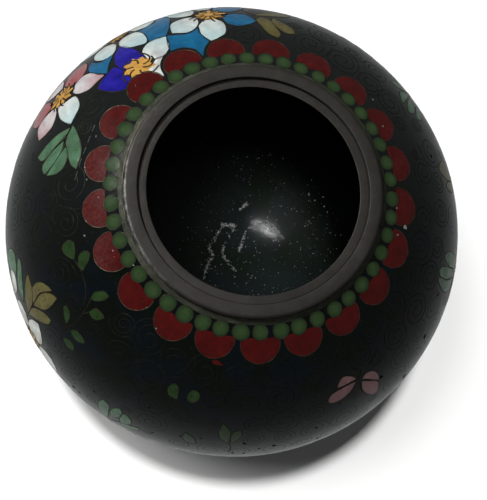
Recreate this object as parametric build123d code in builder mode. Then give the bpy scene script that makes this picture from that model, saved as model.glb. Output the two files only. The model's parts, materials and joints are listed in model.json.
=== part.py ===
"""Squat cloisonne jar: a spun copper body with wire cells, fired enamel and brass mountings.

Millimetres, +Z up, origin on the floor under the middle of the foot ring.
Places on the body are given by azimuth (degrees, anticlockwise from +X seen from above) and by
arc, the distance walked along the outer skin from the axis at the top down towards the foot.
"""
from build123d import *
import os
from math import asin, atan2, cos, pi, radians, sin, sqrt

os.makedirs("parts", exist_ok=True)

# ---------------------------------------------------------------- driving dimensions
belly_radius = 60.0          # widest radius of the jar
equator_height = 45.0        # height of the widest point above the floor
belly_arc_radius = 41.0      # the body's side is this arc ...
cap_arc_radius = 76.6        # ... tangent to this flatter arc, above and below

enamel_thickness = 0.9       # wires and the glass between them
copper_thickness = 1.0
lining_thickness = 0.5       # counter enamel that balances the outer glass

mouth_radius = 24.7          # clear opening inside the lid ledge
ledge_radius = 26.9          # step that a lid would sit inside
collar_radius = 30.1
lip_thickness = 1.0          # collar's inner lip, which lines the hole in the copper
lip_rise = 36.0              # lip's lower edge above the equator
collar_rise = 42.0           # collar's top above the equator
ledge_rise = 41.0            # ledge's top above the equator
ledge_depth = 3.2            # top to underside of the ledge

foot_radius = 31.0
foot_width = 2.6
base_sag = 4.0               # how far the middle of the base hangs below its rim

seam_lap = 3.0               # overlap of the two copper halves
wire_thickness = 0.25
edging_width = 0.6           # plain wire ring beside the collar and beside the foot

bead_count = 46
bead_radius = 1.85
first_bead = 1.7             # azimuth of the first bead
scallop_count = 21
scallop_radius = 4.6
first_scallop = 5.5
scallop_drift = 3.1          # most that a hand-set scallop strays from even spacing, degrees
drift_start = 45.0           # azimuth where the drift is nothing
foot_scallop_count = 22
foot_scallop_radius = 4.1
stamen_disc_radius = 2.2
edge_round = 0.5             # worn edges of the brass

# ---------------------------------------------------------------- derived sizes
belly_centre = belly_radius - belly_arc_radius
cap_drop = sqrt((cap_arc_radius - belly_arc_radius) ** 2 - belly_centre ** 2)
join_angle = atan2(belly_centre, cap_drop)            # from the axis to where the arcs meet
join_arc = cap_arc_radius * join_angle
equator_arc = join_arc + belly_arc_radius * (pi / 2 - join_angle)
whole_arc = 2 * equator_arc

copper_depth = enamel_thickness
lining_depth = copper_depth + copper_thickness
inside_depth = lining_depth + lining_thickness
hole_radius = ledge_radius + lip_thickness            # hole in the copper under the collar
foot_inner_radius = foot_radius - foot_width
above = equator_height + belly_radius                 # clear of the whole jar
cell_reach = 6.0                                      # half the height of a cell's cutting prism


def arc_at(radius):
    """Arc distance of a circle of this radius on the upper cap."""
    return cap_arc_radius * asin(radius / cap_arc_radius)


def skin_point(arc, depth=0.0):
    """Radius and height of a point this deep under the outer skin, and the skin's tilt there."""
    below = arc > equator_arc
    walked = whole_arc - arc if below else arc
    if walked < join_arc:
        tilt = walked / cap_arc_radius
        radius = (cap_arc_radius - depth) * sin(tilt)
        rise = (cap_arc_radius - depth) * cos(tilt) - cap_drop
    else:
        tilt = join_angle + (walked - join_arc) / belly_arc_radius
        radius = belly_centre + (belly_arc_radius - depth) * sin(tilt)
        rise = (belly_arc_radius - depth) * cos(tilt)
    if below:
        return radius, equator_height - rise, pi - tilt
    return radius, equator_height + rise, tilt


def skin_plane(azimuth, arc, heading=0.0):
    """Plane on the skin: local x to the right, y towards the mouth, z outwards, turned by heading."""
    radius, height, tilt = skin_point(arc)
    turn = radians(azimuth)
    plane = Plane(
        origin=(radius * cos(turn), radius * sin(turn), height),
        x_dir=(-sin(turn), cos(turn), 0),
        z_dir=(sin(tilt) * cos(turn), sin(tilt) * sin(turn), cos(tilt)),
    )
    return plane.rotated((0, 0, heading))


# ---------------------------------------------------------------- decoration, placed by hand
# petals and leaves: azimuth and arc of the middle, direction of the tip, length, width
white_petals = [
    (128.0, 46.3, 95, 8.6, 6.4), (136.2, 51.8, 25, 7.6, 6.0), (134.2, 61.0, -45, 8.6, 6.0),
    (147.6, 45.4, 195, 7.4, 5.4), (150.6, 56.0, 100, 8.0, 5.6), (159.0, 60.2, 35, 7.2, 5.6),
    (144.6, 65.6, 170, 7.6, 5.6), (159.0, 69.6, -30, 7.6, 5.6), (149.6, 73.6, -110, 7.6, 5.6),
    (180.4, 52.6, 62, 7.4, 5.6), (230.9, 79.4, 145, 7.6, 5.8), (237.3, 75.2, 88, 7.6, 5.8),
    (243.8, 80.2, 30, 7.6, 5.8), (241.6, 88.2, -45, 7.6, 5.8), (233.0, 88.4, 225, 7.6, 5.8),
]
sky_petals = [
    (134.2, 43.6, 120, 6.2, 4.2), (141.0, 44.2, 60, 6.2, 4.2), (142.8, 56.6, -90, 8.4, 6.0),
    (164.6, 54.6, 70, 6.6, 3.8), (118.6, 52.2, 160, 7.8, 6.0), (120.4, 61.6, 225, 8.2, 6.0),
]
cobalt_petals = [(166.0, 46.0, -20, 7.4, 6.2), (157.2, 50.8, -90, 8.0, 6.0)]
blush_petals = [(169.4, 55.6, 125, 6.8, 5.0), (186.4, 60.4, -5, 7.8, 5.8)]
rose_petals = [(167.4, 63.6, 200, 7.8, 5.8), (180.6, 68.4, -62, 8.0, 5.8), (171.6, 70.0, 235, 7.4, 5.4)]
stamen_discs = [(127.2, 54.8), (157.6, 43.7), (175.4, 60.6), (152.2, 65.2), (237.3, 83.4)]

pale_leaves = [
    (192.6, 46.4, 25, 9.6, 3.0), (196.0, 50.0, -5, 7.6, 3.4), (190.8, 53.6, -48, 9.0, 3.4),
    (222.6, 70.6, 130, 8.0, 3.6), (217.6, 75.4, 165, 8.0, 3.6),
    (5.6, 63.4, 105, 8.4, 3.6), (9.8, 61.0, 95, 9.4, 4.0), (14.2, 65.0, 80, 9.6, 3.8),
    (56.4, 57.8, 140, 7.4, 3.4), (62.0, 56.0, 85, 8.2, 3.6), (67.0, 60.0, 40, 6.8, 3.2),
    (262.0, 76.0, 110, 9.0, 3.2), (266.0, 73.4, 90, 8.6, 3.2), (270.0, 76.2, 70, 9.0, 3.2),
]
green_leaves = [
    (223.8, 47.6, 170, 4.6, 2.8), (229.0, 44.4, 130, 4.2, 2.4), (241.4, 46.0, 110, 4.8, 3.0),
    (245.4, 49.0, 30, 3.8, 2.6), (238.4, 56.2, 140, 4.2, 2.6), (246.0, 57.6, 20, 4.2, 2.4),
    (245.0, 61.8, 0, 4.2, 2.4), (275.4, 53.2, 100, 4.0, 2.8), (280.8, 52.6, 75, 4.2, 2.6),
]
olive_leaves = [
    (107.4, 45.4, 100, 5.8, 2.8), (103.4, 49.2, 145, 7.2, 3.2), (110.6, 51.6, 120, 7.4, 3.0),
    (229.6, 62.0, 120, 8.0, 3.6), (233.4, 62.4, 80, 9.4, 3.6), (237.0, 66.6, 55, 6.8, 3.4),
    (227.4, 67.4, 140, 7.6, 3.4), (38.6, 60.4, 90, 9.6, 4.2), (34.2, 63.6, 110, 7.0, 2.8),
    (291.6, 64.0, 110, 7.6, 3.0), (295.4, 64.2, 70, 7.6, 3.0),
]
butterfly_wings = [
    (325.0, 53.4, 160, 5.6, 2.8), (323.4, 57.2, 188, 7.4, 3.2),
    (333.2, 57.2, -58, 5.8, 2.8), (330.8, 61.6, -82, 7.4, 3.4),
]


# ---------------------------------------------------------------- outlines of single cells
def petal_outline(length, width, grow=0.0):
    """Teardrop along local x: a point at one end, a round tip at the other."""
    round_radius = width / 2
    reach = length - round_radius
    half_point_angle = asin(round_radius / reach)
    start = -length / 2 - grow / sin(half_point_angle)
    centre = length / 2 - round_radius
    tangent = sqrt((centre - start) ** 2 - (round_radius + grow) ** 2)
    shoulder_x = start + tangent * cos(half_point_angle)
    shoulder_y = tangent * sin(half_point_angle)
    with BuildLine() as outline:
        Line((start, 0), (shoulder_x, -shoulder_y))
        ThreePointArc((shoulder_x, -shoulder_y), (length / 2 + grow, 0), (shoulder_x, shoulder_y))
        Line((shoulder_x, shoulder_y), (start, 0))
    make_face(outline.edges())


def leaf_outline(length, width, grow=0.0):
    """Pointed leaf along local x, between two equal arcs."""
    arc_radius = (length ** 2 + width ** 2) / (4 * width)
    sideways = arc_radius - width / 2
    half_length = sqrt((arc_radius + grow) ** 2 - sideways ** 2)
    half_width = width / 2 + grow
    with BuildLine() as outline:
        ThreePointArc((-half_length, 0), (0, -half_width), (half_length, 0))
        ThreePointArc((half_length, 0), (0, half_width), (-half_length, 0))
    make_face(outline.edges())


def scallop_outline(radius, grow=0.0):
    """Half disc that hangs from its straight side."""
    Circle(radius + grow)
    span = 4 * radius
    Rectangle(span, span, align=(Align.CENTER, Align.MIN), mode=Mode.SUBTRACT)


def petal_prisms(places, outline, grow=0.0):
    """Prisms through the skin, one for each petal or leaf in the list."""
    with BuildPart() as prisms:
        for azimuth, arc, heading, length, width in places:
            with BuildSketch(skin_plane(azimuth, arc, heading)):
                outline(length, width, grow)
            extrude(amount=cell_reach, both=True)
    return prisms.part


def round_prisms(planes, radius):
    """Round prisms through the skin."""
    with BuildPart() as prisms:
        with BuildSketch(*planes):
            Circle(radius)
        extrude(amount=cell_reach, both=True)
    return prisms.part


def scallop_prisms(planes, radius, grow=0.0):
    """Half-round prisms through the skin."""
    with BuildPart() as prisms:
        with BuildSketch(*planes):
            scallop_outline(radius, grow)
        extrude(amount=cell_reach, both=True)
    return prisms.part


# ---------------------------------------------------------------- sections of the body
def skin_section(depth):
    """Face of the half section that lies deeper than this under the skin."""
    places = [0, join_arc / 2, join_arc, equator_arc, whole_arc - join_arc,
              whole_arc - join_arc / 2, whole_arc]
    points = [skin_point(arc, depth)[:2] for arc in places]
    points[0] = (0, points[0][1])
    points[-1] = (0, points[-1][1])
    with BuildLine() as outline:
        ThreePointArc(points[0], points[1], points[2])
        ThreePointArc(points[2], points[3], points[4])
        ThreePointArc(points[4], points[5], points[6])
        Line(points[6], points[0])
    make_face(outline.edges())


def band(inner, outer, low, high, mode=Mode.SUBTRACT):
    """Upright rectangle of the half section, between two radii and two heights."""
    with Locations((inner, low)):
        Rectangle(outer - inner, high - low, align=(Align.MIN, Align.MIN), mode=mode)


def base_section(lift, mode=Mode.SUBTRACT):
    """Everything under the shallow round base, raised by lift."""
    rim = (foot_radius, base_height + lift)
    middle = (0, rim[1] - base_sag)
    halfway = (foot_radius / 2, rim[1] - base_sag * 3 / 4)
    with BuildLine() as outline:
        ThreePointArc(middle, halfway, rim)
        Polyline(rim, (belly_radius, rim[1]), (belly_radius, -above), (0, -above), middle)
    make_face(outline.edges(), mode=mode)


base_height = skin_point(whole_arc - arc_at(foot_radius), copper_depth)[1]

# ---------------------------------------------------------------- copper body, two halves
with BuildPart() as copper_shoulder:
    with BuildSketch(Plane.XZ):
        skin_section(copper_depth)
        band(0, belly_radius, -above, equator_height)
        with BuildSketch(mode=Mode.ADD):
            skin_section(copper_depth + copper_thickness / 2)
            band(0, belly_radius, -above, equator_height - seam_lap)
            band(0, belly_radius, equator_height, above)
        with BuildSketch(mode=Mode.SUBTRACT):
            skin_section(lining_depth)
        band(0, hole_radius, equator_height, above)
    revolve(axis=Axis.Z)
copper_shoulder.part.label = "copper_shoulder"

with BuildPart() as copper_bowl:
    with BuildSketch(Plane.XZ):
        skin_section(copper_depth)
        band(0, belly_radius, equator_height, above)
        with BuildSketch(mode=Mode.SUBTRACT):
            skin_section(copper_depth + copper_thickness / 2)
            band(0, belly_radius, -above, equator_height - seam_lap)
        with BuildSketch(mode=Mode.SUBTRACT):
            skin_section(lining_depth)
            base_section(copper_thickness)
        base_section(0)
    revolve(axis=Axis.Z)
copper_bowl.part.label = "copper_bowl"

# ---------------------------------------------------------------- glass linings
with BuildPart() as interior_enamel:
    with BuildSketch(Plane.XZ):
        skin_section(lining_depth)
        base_section(copper_thickness)
        with BuildSketch(mode=Mode.SUBTRACT):
            skin_section(inside_depth)
            base_section(copper_thickness + lining_thickness)
        band(0, hole_radius, equator_height, above)
    revolve(axis=Axis.Z)
interior_enamel.part.label = "interior_enamel"

with BuildPart() as base_enamel:
    with BuildSketch(Plane.XZ):
        base_section(0, mode=Mode.ADD)
        base_section(-lining_thickness)
        band(foot_inner_radius, belly_radius, -above, above)
    revolve(axis=Axis.Z)
base_enamel.part.label = "base_enamel"

# ---------------------------------------------------------------- brass mountings
collar_top = equator_height + collar_rise
with BuildPart() as mouth_collar:
    with BuildSketch(Plane.XZ):
        band(ledge_radius, collar_radius, equator_height, collar_top, Mode.ADD)
        with BuildSketch(mode=Mode.SUBTRACT):
            skin_section(copper_depth)
        band(ledge_radius, hole_radius, equator_height + lip_rise, collar_top, Mode.ADD)
    revolve(axis=Axis.Z)
    top_edges = mouth_collar.edges().group_by(Axis.Z)[-1]
    fillet(top_edges, edge_round)
mouth_collar.part.label = "mouth_collar"

with BuildPart() as lid_ledge_ring:
    with BuildSketch(Plane.XZ):
        ledge_top = equator_height + ledge_rise
        band(mouth_radius, ledge_radius, ledge_top - ledge_depth, ledge_top, Mode.ADD)
    revolve(axis=Axis.Z)
    fillet(lid_ledge_ring.edges().group_by(Axis.Z)[-1].sort_by(SortBy.RADIUS)[0], edge_round)
    chamfer(lid_ledge_ring.edges().group_by(Axis.Z)[0].sort_by(SortBy.RADIUS)[0], edge_round)
lid_ledge_ring.part.label = "lid_ledge_ring"

with BuildPart() as foot_ring:
    with BuildSketch(Plane.XZ):
        band(foot_inner_radius, foot_radius, 0, equator_height, Mode.ADD)
        with BuildSketch(mode=Mode.SUBTRACT):
            skin_section(copper_depth)
            base_section(0)
        band(0, belly_radius, base_height, above)
    revolve(axis=Axis.Z)
    fillet(foot_ring.edges().group_by(Axis.Z)[0], edge_round)
foot_ring.part.label = "foot_ring"

# ---------------------------------------------------------------- layer that holds the cells
with BuildPart() as enamel_layer:
    with BuildSketch(Plane.XZ):
        skin_section(0)
        with BuildSketch(mode=Mode.SUBTRACT):
            skin_section(copper_depth)
        band(0, collar_radius, equator_height, above)
        band(0, foot_radius, -above, equator_height)
    revolve(axis=Axis.Z)


def edging(inner):
    """Plain ring of wire, one edging_width wide, in the enamel layer."""
    with BuildPart() as ring:
        add(enamel_layer.part)
        with BuildSketch():
            Circle(inner + edging_width)
            Circle(inner, mode=Mode.SUBTRACT)
        extrude(amount=above, mode=Mode.INTERSECT)
    return ring.part


with BuildPart() as collar_wire:
    add(edging(collar_radius))
    split(bisect_by=Plane.XY.offset(equator_height), keep=Keep.TOP)
collar_wire.part.label = "collar_wire"

with BuildPart() as foot_wire:
    add(edging(foot_radius))
    split(bisect_by=Plane.XY.offset(equator_height), keep=Keep.BOTTOM)
foot_wire.part.label = "foot_wire"

# ---------------------------------------------------------------- border rows
row_gap = 0.1
bead_arc = arc_at(collar_radius + edging_width) + row_gap + wire_thickness + bead_radius
scallop_arc = bead_arc + bead_radius + 2 * wire_thickness + row_gap
foot_scallop_arc = whole_arc - arc_at(foot_radius + edging_width) - row_gap - wire_thickness


def scallop_azimuth(i):
    """Scallops were set out by eye, so their spacing drifts a little round the mouth."""
    even = first_scallop + 360 / scallop_count * i
    return even + scallop_drift * sin(radians(even - drift_start) / 2) ** 2


def without(solid, others):
    """The solid less every other one."""
    with BuildPart() as rest:
        add(solid)
        for other in others:
            add(other, mode=Mode.SUBTRACT)
    return rest.part


def in_layer(prisms):
    """What the prisms cut out of the enamel layer."""
    with BuildPart() as piece:
        add(prisms)
        add(enamel_layer.part, mode=Mode.INTERSECT)
    return piece.part


bead_planes = [skin_plane(first_bead + 360 / bead_count * i, bead_arc) for i in range(bead_count)]
scallop_planes = [skin_plane(scallop_azimuth(i), scallop_arc) for i in range(scallop_count)]
foot_scallop_planes = [
    skin_plane(360 / foot_scallop_count * i, foot_scallop_arc, 180) for i in range(foot_scallop_count)
]
stamen_planes = [skin_plane(azimuth, arc) for azimuth, arc in stamen_discs]


def round_cells(planes, radius):
    """Prisms of the glass, and the same prisms with their wire round them."""
    return round_prisms(planes, radius), round_prisms(planes, radius + wire_thickness)


def scallop_cells(planes, radius):
    """The same two sets of prisms for scallops."""
    return scallop_prisms(planes, radius), scallop_prisms(planes, radius, wire_thickness)


def petal_cells(places, outline):
    """The same two sets of prisms for petals, wings or leaves of one outline."""
    return petal_prisms(places, outline), petal_prisms(places, outline, wire_thickness)


# for each node of wires, the nodes of glass that it fences, in the order they are laid
cell_kinds = {
    "bead_wires": {"bead_enamels": round_cells(bead_planes, bead_radius)},
    "scallop_wires": {"scallop_enamels": scallop_cells(scallop_planes, scallop_radius)},
    "foot_scallop_wires": {
        "foot_scallop_enamels": scallop_cells(foot_scallop_planes, foot_scallop_radius),
    },
    "stamen_disc_wires": {"stamen_disc_enamels": round_cells(stamen_planes, stamen_disc_radius)},
    "petal_wires": {
        "white_petal_enamels": petal_cells(white_petals, petal_outline),
        "sky_petal_enamels": petal_cells(sky_petals, petal_outline),
        "cobalt_petal_enamels": petal_cells(cobalt_petals, petal_outline),
        "blush_petal_enamels": petal_cells(blush_petals, petal_outline),
        "rose_petal_enamels": petal_cells(rose_petals, petal_outline),
    },
    "butterfly_wires": {"butterfly_wing_enamels": petal_cells(butterfly_wings, petal_outline)},
    "leaf_wires": {
        "pale_leaf_enamels": petal_cells(pale_leaves, leaf_outline),
        "green_leaf_enamels": petal_cells(green_leaves, leaf_outline),
        "olive_leaf_enamels": petal_cells(olive_leaves, leaf_outline),
    },
}

# a cell takes only the room that the cells laid before it have left
fenced = []
decoration = {}
for wire_name, cells in cell_kinds.items():
    laid_before = list(fenced)
    glass_of_kind = {}
    for glass_name, (inner, outer) in cells.items():
        glass_of_kind[glass_name] = without(inner, fenced)
        fenced.append(outer)
    with BuildPart() as fences:
        for _, outer in cells.values():
            add(outer)
    decoration[wire_name] = in_layer(without(fences.part, laid_before + list(glass_of_kind.values())))
    for glass_name, glass in glass_of_kind.items():
        decoration[glass_name] = in_layer(glass)

# ---------------------------------------------------------------- ground glass, with its pockets
with BuildPart() as ground_enamel:
    add(without(enamel_layer.part, [collar_wire.part, foot_wire.part] + fenced))
ground_enamel.part.label = "ground_enamel"

# ---------------------------------------------------------------- files
body_pieces = [copper_bowl, copper_shoulder, mouth_collar, lid_ledge_ring, foot_ring,
               interior_enamel, base_enamel, ground_enamel, collar_wire, foot_wire]
for piece in body_pieces:
    export_step(piece.part, f"parts/{piece.part.label}.step")

for name, piece in decoration.items():
    piece.label = name
    export_step(piece, f"parts/{name}.step")
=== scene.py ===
"""Looks of a squat cloisonne jar: glass cells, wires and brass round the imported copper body.

Lengths in this script are metres unless a name ends in _mm. A place on the jar is given by its
azimuth (degrees, anticlockwise from +X seen from above) and its arc (millimetres walked along the
outer skin from the axis at the top down towards the foot).
"""
import bpy
import json
import math
import random
import numpy as np
from mathutils import Matrix, Vector


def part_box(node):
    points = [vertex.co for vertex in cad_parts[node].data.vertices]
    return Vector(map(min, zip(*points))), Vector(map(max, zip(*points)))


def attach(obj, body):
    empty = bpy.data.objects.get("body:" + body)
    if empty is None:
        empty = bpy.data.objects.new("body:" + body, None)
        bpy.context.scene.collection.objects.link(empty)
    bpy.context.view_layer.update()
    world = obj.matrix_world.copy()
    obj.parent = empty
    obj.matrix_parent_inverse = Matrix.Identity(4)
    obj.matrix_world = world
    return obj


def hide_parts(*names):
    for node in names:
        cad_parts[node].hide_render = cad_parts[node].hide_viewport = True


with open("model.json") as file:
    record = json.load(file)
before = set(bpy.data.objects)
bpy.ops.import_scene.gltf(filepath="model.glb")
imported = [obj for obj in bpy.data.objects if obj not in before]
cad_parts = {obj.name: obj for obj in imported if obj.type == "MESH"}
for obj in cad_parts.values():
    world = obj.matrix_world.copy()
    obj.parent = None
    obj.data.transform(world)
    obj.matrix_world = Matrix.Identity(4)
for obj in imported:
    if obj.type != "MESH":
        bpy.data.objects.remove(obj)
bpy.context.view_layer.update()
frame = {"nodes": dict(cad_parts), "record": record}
MM = 0.001
chance = random.Random(7)

# ---------------------------------------------------------------- sizes, from the frame
belly_radius = round(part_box("ground_enamel")[1].x, 3)
equator_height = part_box("copper_bowl")[1].z
collar_low, collar_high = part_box("mouth_collar")
ledge_low, ledge_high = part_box("lid_ledge_ring")
foot_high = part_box("foot_ring")[1]
mouth_radius = next(m for m in frame["record"]["mounts"] if m["name"] == "mouth")["dims"]["r_mm"] * MM
collar_radius = round(collar_high.x, 4)
ledge_radius = round(ledge_high.x, 4)
foot_radius = round(foot_high.x, 4)
enamel_thickness = belly_radius - round(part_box("copper_bowl")[1].x, 4)
lining_depth = round(belly_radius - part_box("interior_enamel")[1].x, 4)
lining_thickness = 0.0005
lining_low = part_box("interior_enamel")[0].z
copper_thickness = lining_depth - enamel_thickness
lip_thickness = 0.001
hole_radius = ledge_radius + lip_thickness

# the body's section: an arc for the side, tangent to a flatter arc above and below
belly_arc_radius = 0.041
cap_arc_radius = 0.0766
belly_centre = belly_radius - belly_arc_radius
cap_drop = math.sqrt((cap_arc_radius - belly_arc_radius) ** 2 - belly_centre ** 2)
join_angle = math.atan2(belly_centre, cap_drop)
join_arc = cap_arc_radius * join_angle
equator_arc = join_arc + belly_arc_radius * (math.pi / 2 - join_angle)
whole_arc = 2 * equator_arc
whole_arc_mm = whole_arc / MM

wire_width = 0.00026
leaf_wire_width = 0.0002
cell_sink = 0.00016
sharp_angle = 50.0                 # degrees; flatter edges are shaded smooth
ring_sides = 320


# ---------------------------------------------------------------- the skin of the jar
def arc_at(radius):
    """Arc, in millimetres, of a circle of this radius on the upper cap."""
    return cap_arc_radius * math.asin(radius / cap_arc_radius) / MM


def skin(arc_mm, depth=0.0):
    """Radius, height and tilt of the skin at an arc, this deep under the surface."""
    arc = np.asarray(arc_mm, float) * MM
    below = arc > equator_arc
    walked = np.where(below, whole_arc - arc, arc)
    on_cap = walked < join_arc
    tilt = np.where(on_cap, walked / cap_arc_radius, join_angle + (walked - join_arc) / belly_arc_radius)
    radius = np.where(
        on_cap,
        (cap_arc_radius - depth) * np.sin(tilt),
        belly_centre + (belly_arc_radius - depth) * np.sin(tilt),
    )
    rise = np.where(
        on_cap,
        (cap_arc_radius - depth) * np.cos(tilt) - cap_drop,
        (belly_arc_radius - depth) * np.cos(tilt),
    )
    height = equator_height + np.where(below, -rise, rise)
    return radius, height, np.where(below, math.pi - tilt, tilt)


def waviness(azimuth, arc_mm):
    """Slight hand-polished unevenness of the skin, in metres."""
    turn = np.radians(azimuth)
    swell = np.sin(3 * turn + arc_mm / 9.0) + 0.7 * np.sin(7 * turn - arc_mm / 6.0 + 1.3)
    ripple = 0.5 * np.sin(13 * turn + arc_mm / 4.1 + 0.6)
    fade = np.clip((arc_mm - arc_at(collar_radius)) / 6.0, 0, 1)
    return 0.00002 * fade * (swell + ripple)


def place(azimuth, arc_mm, lift=0.0):
    """Points this far above the skin, as an array of rows x, y, z."""
    azimuth, arc_mm, lift = np.broadcast_arrays(
        np.asarray(azimuth, float), np.asarray(arc_mm, float), np.asarray(lift, float)
    )
    radius, height, tilt = skin(arc_mm)
    out = lift + waviness(azimuth, arc_mm)
    turn = np.radians(azimuth)
    flat = radius + out * np.sin(tilt)
    return np.stack([flat * np.cos(turn), flat * np.sin(turn), height + out * np.cos(tilt)], axis=-1)


def step_from(azimuth, arc_mm, x_mm, y_mm):
    """Azimuth and arc of a point x to the right and y towards the mouth, seen from outside."""
    arc = arc_mm - np.asarray(y_mm, float)
    radius_mm = skin(arc)[0] / MM
    return azimuth + np.degrees(np.asarray(x_mm, float) / radius_mm), arc


# ---------------------------------------------------------------- meshes
class Pile:
    """Vertices, faces and a tone per vertex, gathered for one object."""

    def __init__(self):
        self.points, self.faces, self.tones = [], [], []

    def add(self, points, faces, tones=0.0):
        start = len(self.points)
        self.points.extend(map(tuple, points))
        self.faces.extend([tuple(start + i for i in face) for face in faces])
        self.tones.extend(np.broadcast_to(tones, (len(points),)).tolist())

    def build(self, name, material, slot, replaced=()):
        mesh = bpy.data.meshes.new(name)
        mesh.from_pydata(self.points, [], self.faces)
        mesh.materials.append(material)
        tone = mesh.attributes.new("tone", "FLOAT", "POINT")
        tone.data.foreach_set("value", np.array(self.tones, np.float32))
        mesh.shade_smooth()
        mesh.set_sharp_from_angle(angle=math.radians(sharp_angle))
        piece = bpy.data.objects.new(name, mesh)
        bpy.context.scene.collection.objects.link(piece)
        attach(piece, "root")
        if replaced:
            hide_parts(*replaced)
        return piece


def smooth_loop(points, steps=6, closed=True):
    """Catmull-Rom curve through the points; a third value of 1 marks a corner."""
    spots = [np.array(point[:2], float) for point in points]
    corner = [len(point) > 2 for point in points]
    count = len(spots)
    spans = count if closed else count - 1
    curve = []
    for i in range(spans):
        a, b = spots[i], spots[(i + 1) % count]
        before = spots[i - 1] if (closed or i > 0) and not corner[i] else 2 * a - b
        last = not closed and i + 2 >= count
        after = spots[(i + 2) % count] if not (last or corner[(i + 1) % count]) else 2 * b - a
        for k in range(steps):
            t = k / steps
            curve.append(0.5 * (
                2 * a + (b - before) * t + (2 * before - 5 * a + 4 * b - after) * t ** 2
                + (3 * a - before - 3 * b + after) * t ** 3
            ))
    if not closed:
        curve.append(spots[-1])
    return np.array(curve)


def to_local(outline):
    """The outline in millimetres around its own middle, and that middle."""
    middle = outline.mean(axis=0)
    radius_mm = float(skin(middle[1])[0]) / MM
    across = np.radians(outline[:, 0] - middle[0]) * radius_mm
    return np.stack([across, outline[:, 1] - middle[1]], axis=1), middle, radius_mm


def from_local(local, middle, radius_mm):
    return np.stack([middle[0] + np.degrees(local[:, 0] / radius_mm), middle[1] + local[:, 1]], axis=1)


def divided(outline, longest_mm=0.5):
    """The same outline with its long edges divided, so that it lies on the curved skin."""
    local, middle, radius_mm = to_local(outline)
    spots = []
    for here, after in zip(local, np.roll(local, -1, axis=0)):
        parts = max(1, math.ceil(np.hypot(*(after - here)) / longest_mm))
        spots.extend(here + (after - here) * k / parts for k in range(parts))
    return from_local(np.array(spots), middle, radius_mm)


def grown(outline, by_mm):
    """The outline moved outwards along its own normals."""
    local, middle, radius_mm = to_local(outline)
    along = np.roll(local, -1, axis=0) - np.roll(local, 1, axis=0)
    along /= np.linalg.norm(along, axis=1)[:, None] + 1e-9
    outward = np.stack([along[:, 1], -along[:, 0]], axis=1)
    if signed_area(local[:, 0], local[:, 1]) < 0:
        outward = -outward
    return from_local(local + outward * by_mm, middle, radius_mm)


def cell(pile, outline, lift=0.00003, crown=0.00005, heart=None, reach_mm=12.0):
    """One thin pillow of glass inside an outline; heart is the flower's centre, for the tone."""
    outline = divided(outline)
    azimuth, arc = outline[:, 0], outline[:, 1]
    middle = outline.mean(axis=0)
    count = len(outline)
    shares = (1.0, 0.93, 0.75, 0.5, 0.25)
    points, tones = [], []
    for share in (None,) + shares:
        reach = 1.0 if share is None else share
        height = -cell_sink if share is None else lift + crown * (1 - reach ** 2)
        spot = middle + (outline - middle) * reach
        points.append(place(spot[:, 0], spot[:, 1], height))
        tones.append(heart_distance(spot, heart, reach_mm))
    points.append(place(middle[0], middle[1], lift + crown)[None, :])
    points.append(place(middle[0], middle[1], -cell_sink)[None, :])
    centre_tone = heart_distance(middle[None, :], heart, reach_mm)
    tones += [centre_tone, centre_tone]
    faces = []
    top, bottom = count * (len(shares) + 1), count * (len(shares) + 1) + 1
    for i in range(count):
        j = (i + 1) % count
        for ring in range(len(shares)):
            faces.append((ring * count + i, ring * count + j, (ring + 1) * count + j, (ring + 1) * count + i))
        faces.append((len(shares) * count + i, len(shares) * count + j, top))
        faces.append((j, i, bottom))
    if signed_area(azimuth, arc) > 0:
        faces = [face[::-1] for face in faces]
    pile.add(np.concatenate(points), faces, np.concatenate(tones))


def heart_distance(spots, heart, reach_mm):
    """0 at a flower's heart, 1 at its petal tips, for colours that fade outwards."""
    if heart is None:
        return np.zeros(len(spots))
    radius_mm = skin(spots[:, 1])[0] / MM
    across = np.radians(spots[:, 0] - heart[0]) * radius_mm
    return np.clip(np.hypot(across, spots[:, 1] - heart[1]) / reach_mm, 0, 1)


def signed_area(x, y):
    return float(np.sum(x * np.roll(y, -1) - np.roll(x, -1) * y))


def ring_faces(rings, around, closed=True):
    """Four-sided faces between each ring of points and the next, and from the last to the first if closed."""
    faces = []
    for i in range(rings if closed else rings - 1):
        j = (i + 1) % rings
        for k in range(around):
            m = (k + 1) % around
            faces.append((i * around + k, i * around + m, j * around + m, j * around + k))
    return faces


def wire(pile, path, width=wire_width, lift=0.00006, closed=True):
    """A flat wire standing in the glass along a path of azimuths and arcs."""
    path = np.asarray(path, float)
    base = place(path[:, 0], path[:, 1], -cell_sink)
    top = place(path[:, 0], path[:, 1], lift)
    if closed:
        along = np.roll(top, -1, axis=0) - np.roll(top, 1, axis=0)
    else:
        along = np.gradient(top, axis=0)
    outward = top - base
    side = np.cross(along, outward)
    side /= np.linalg.norm(side, axis=1)[:, None] + 1e-12
    half = side * width / 2
    shoulder = base + outward * 0.9
    rows = [base - half, shoulder - half, top - half * 0.55, top + half * 0.55, shoulder + half, base + half]
    count, ring = len(path), len(rows)
    points = np.stack(rows, axis=1).reshape(-1, 3)
    faces = ring_faces(count, ring, closed)
    if not closed:
        faces.append(tuple(range(ring))[::-1])
        faces.append(tuple((count - 1) * ring + k for k in range(ring)))
    pile.add(points, faces)


def lathe(pile, section, sides=256):
    """Ring turned about Z from a closed section of radius and height."""
    section = np.asarray(section, float)
    points = []
    for turn in np.linspace(0, 2 * math.pi, sides, endpoint=False):
        points.append(np.stack([
            section[:, 0] * math.cos(turn), section[:, 0] * math.sin(turn), section[:, 1]
        ], axis=1))
    faces = [(a, d, c, b) for a, b, c, d in ring_faces(sides, len(section))]
    pile.add(np.concatenate(points), faces)


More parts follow.
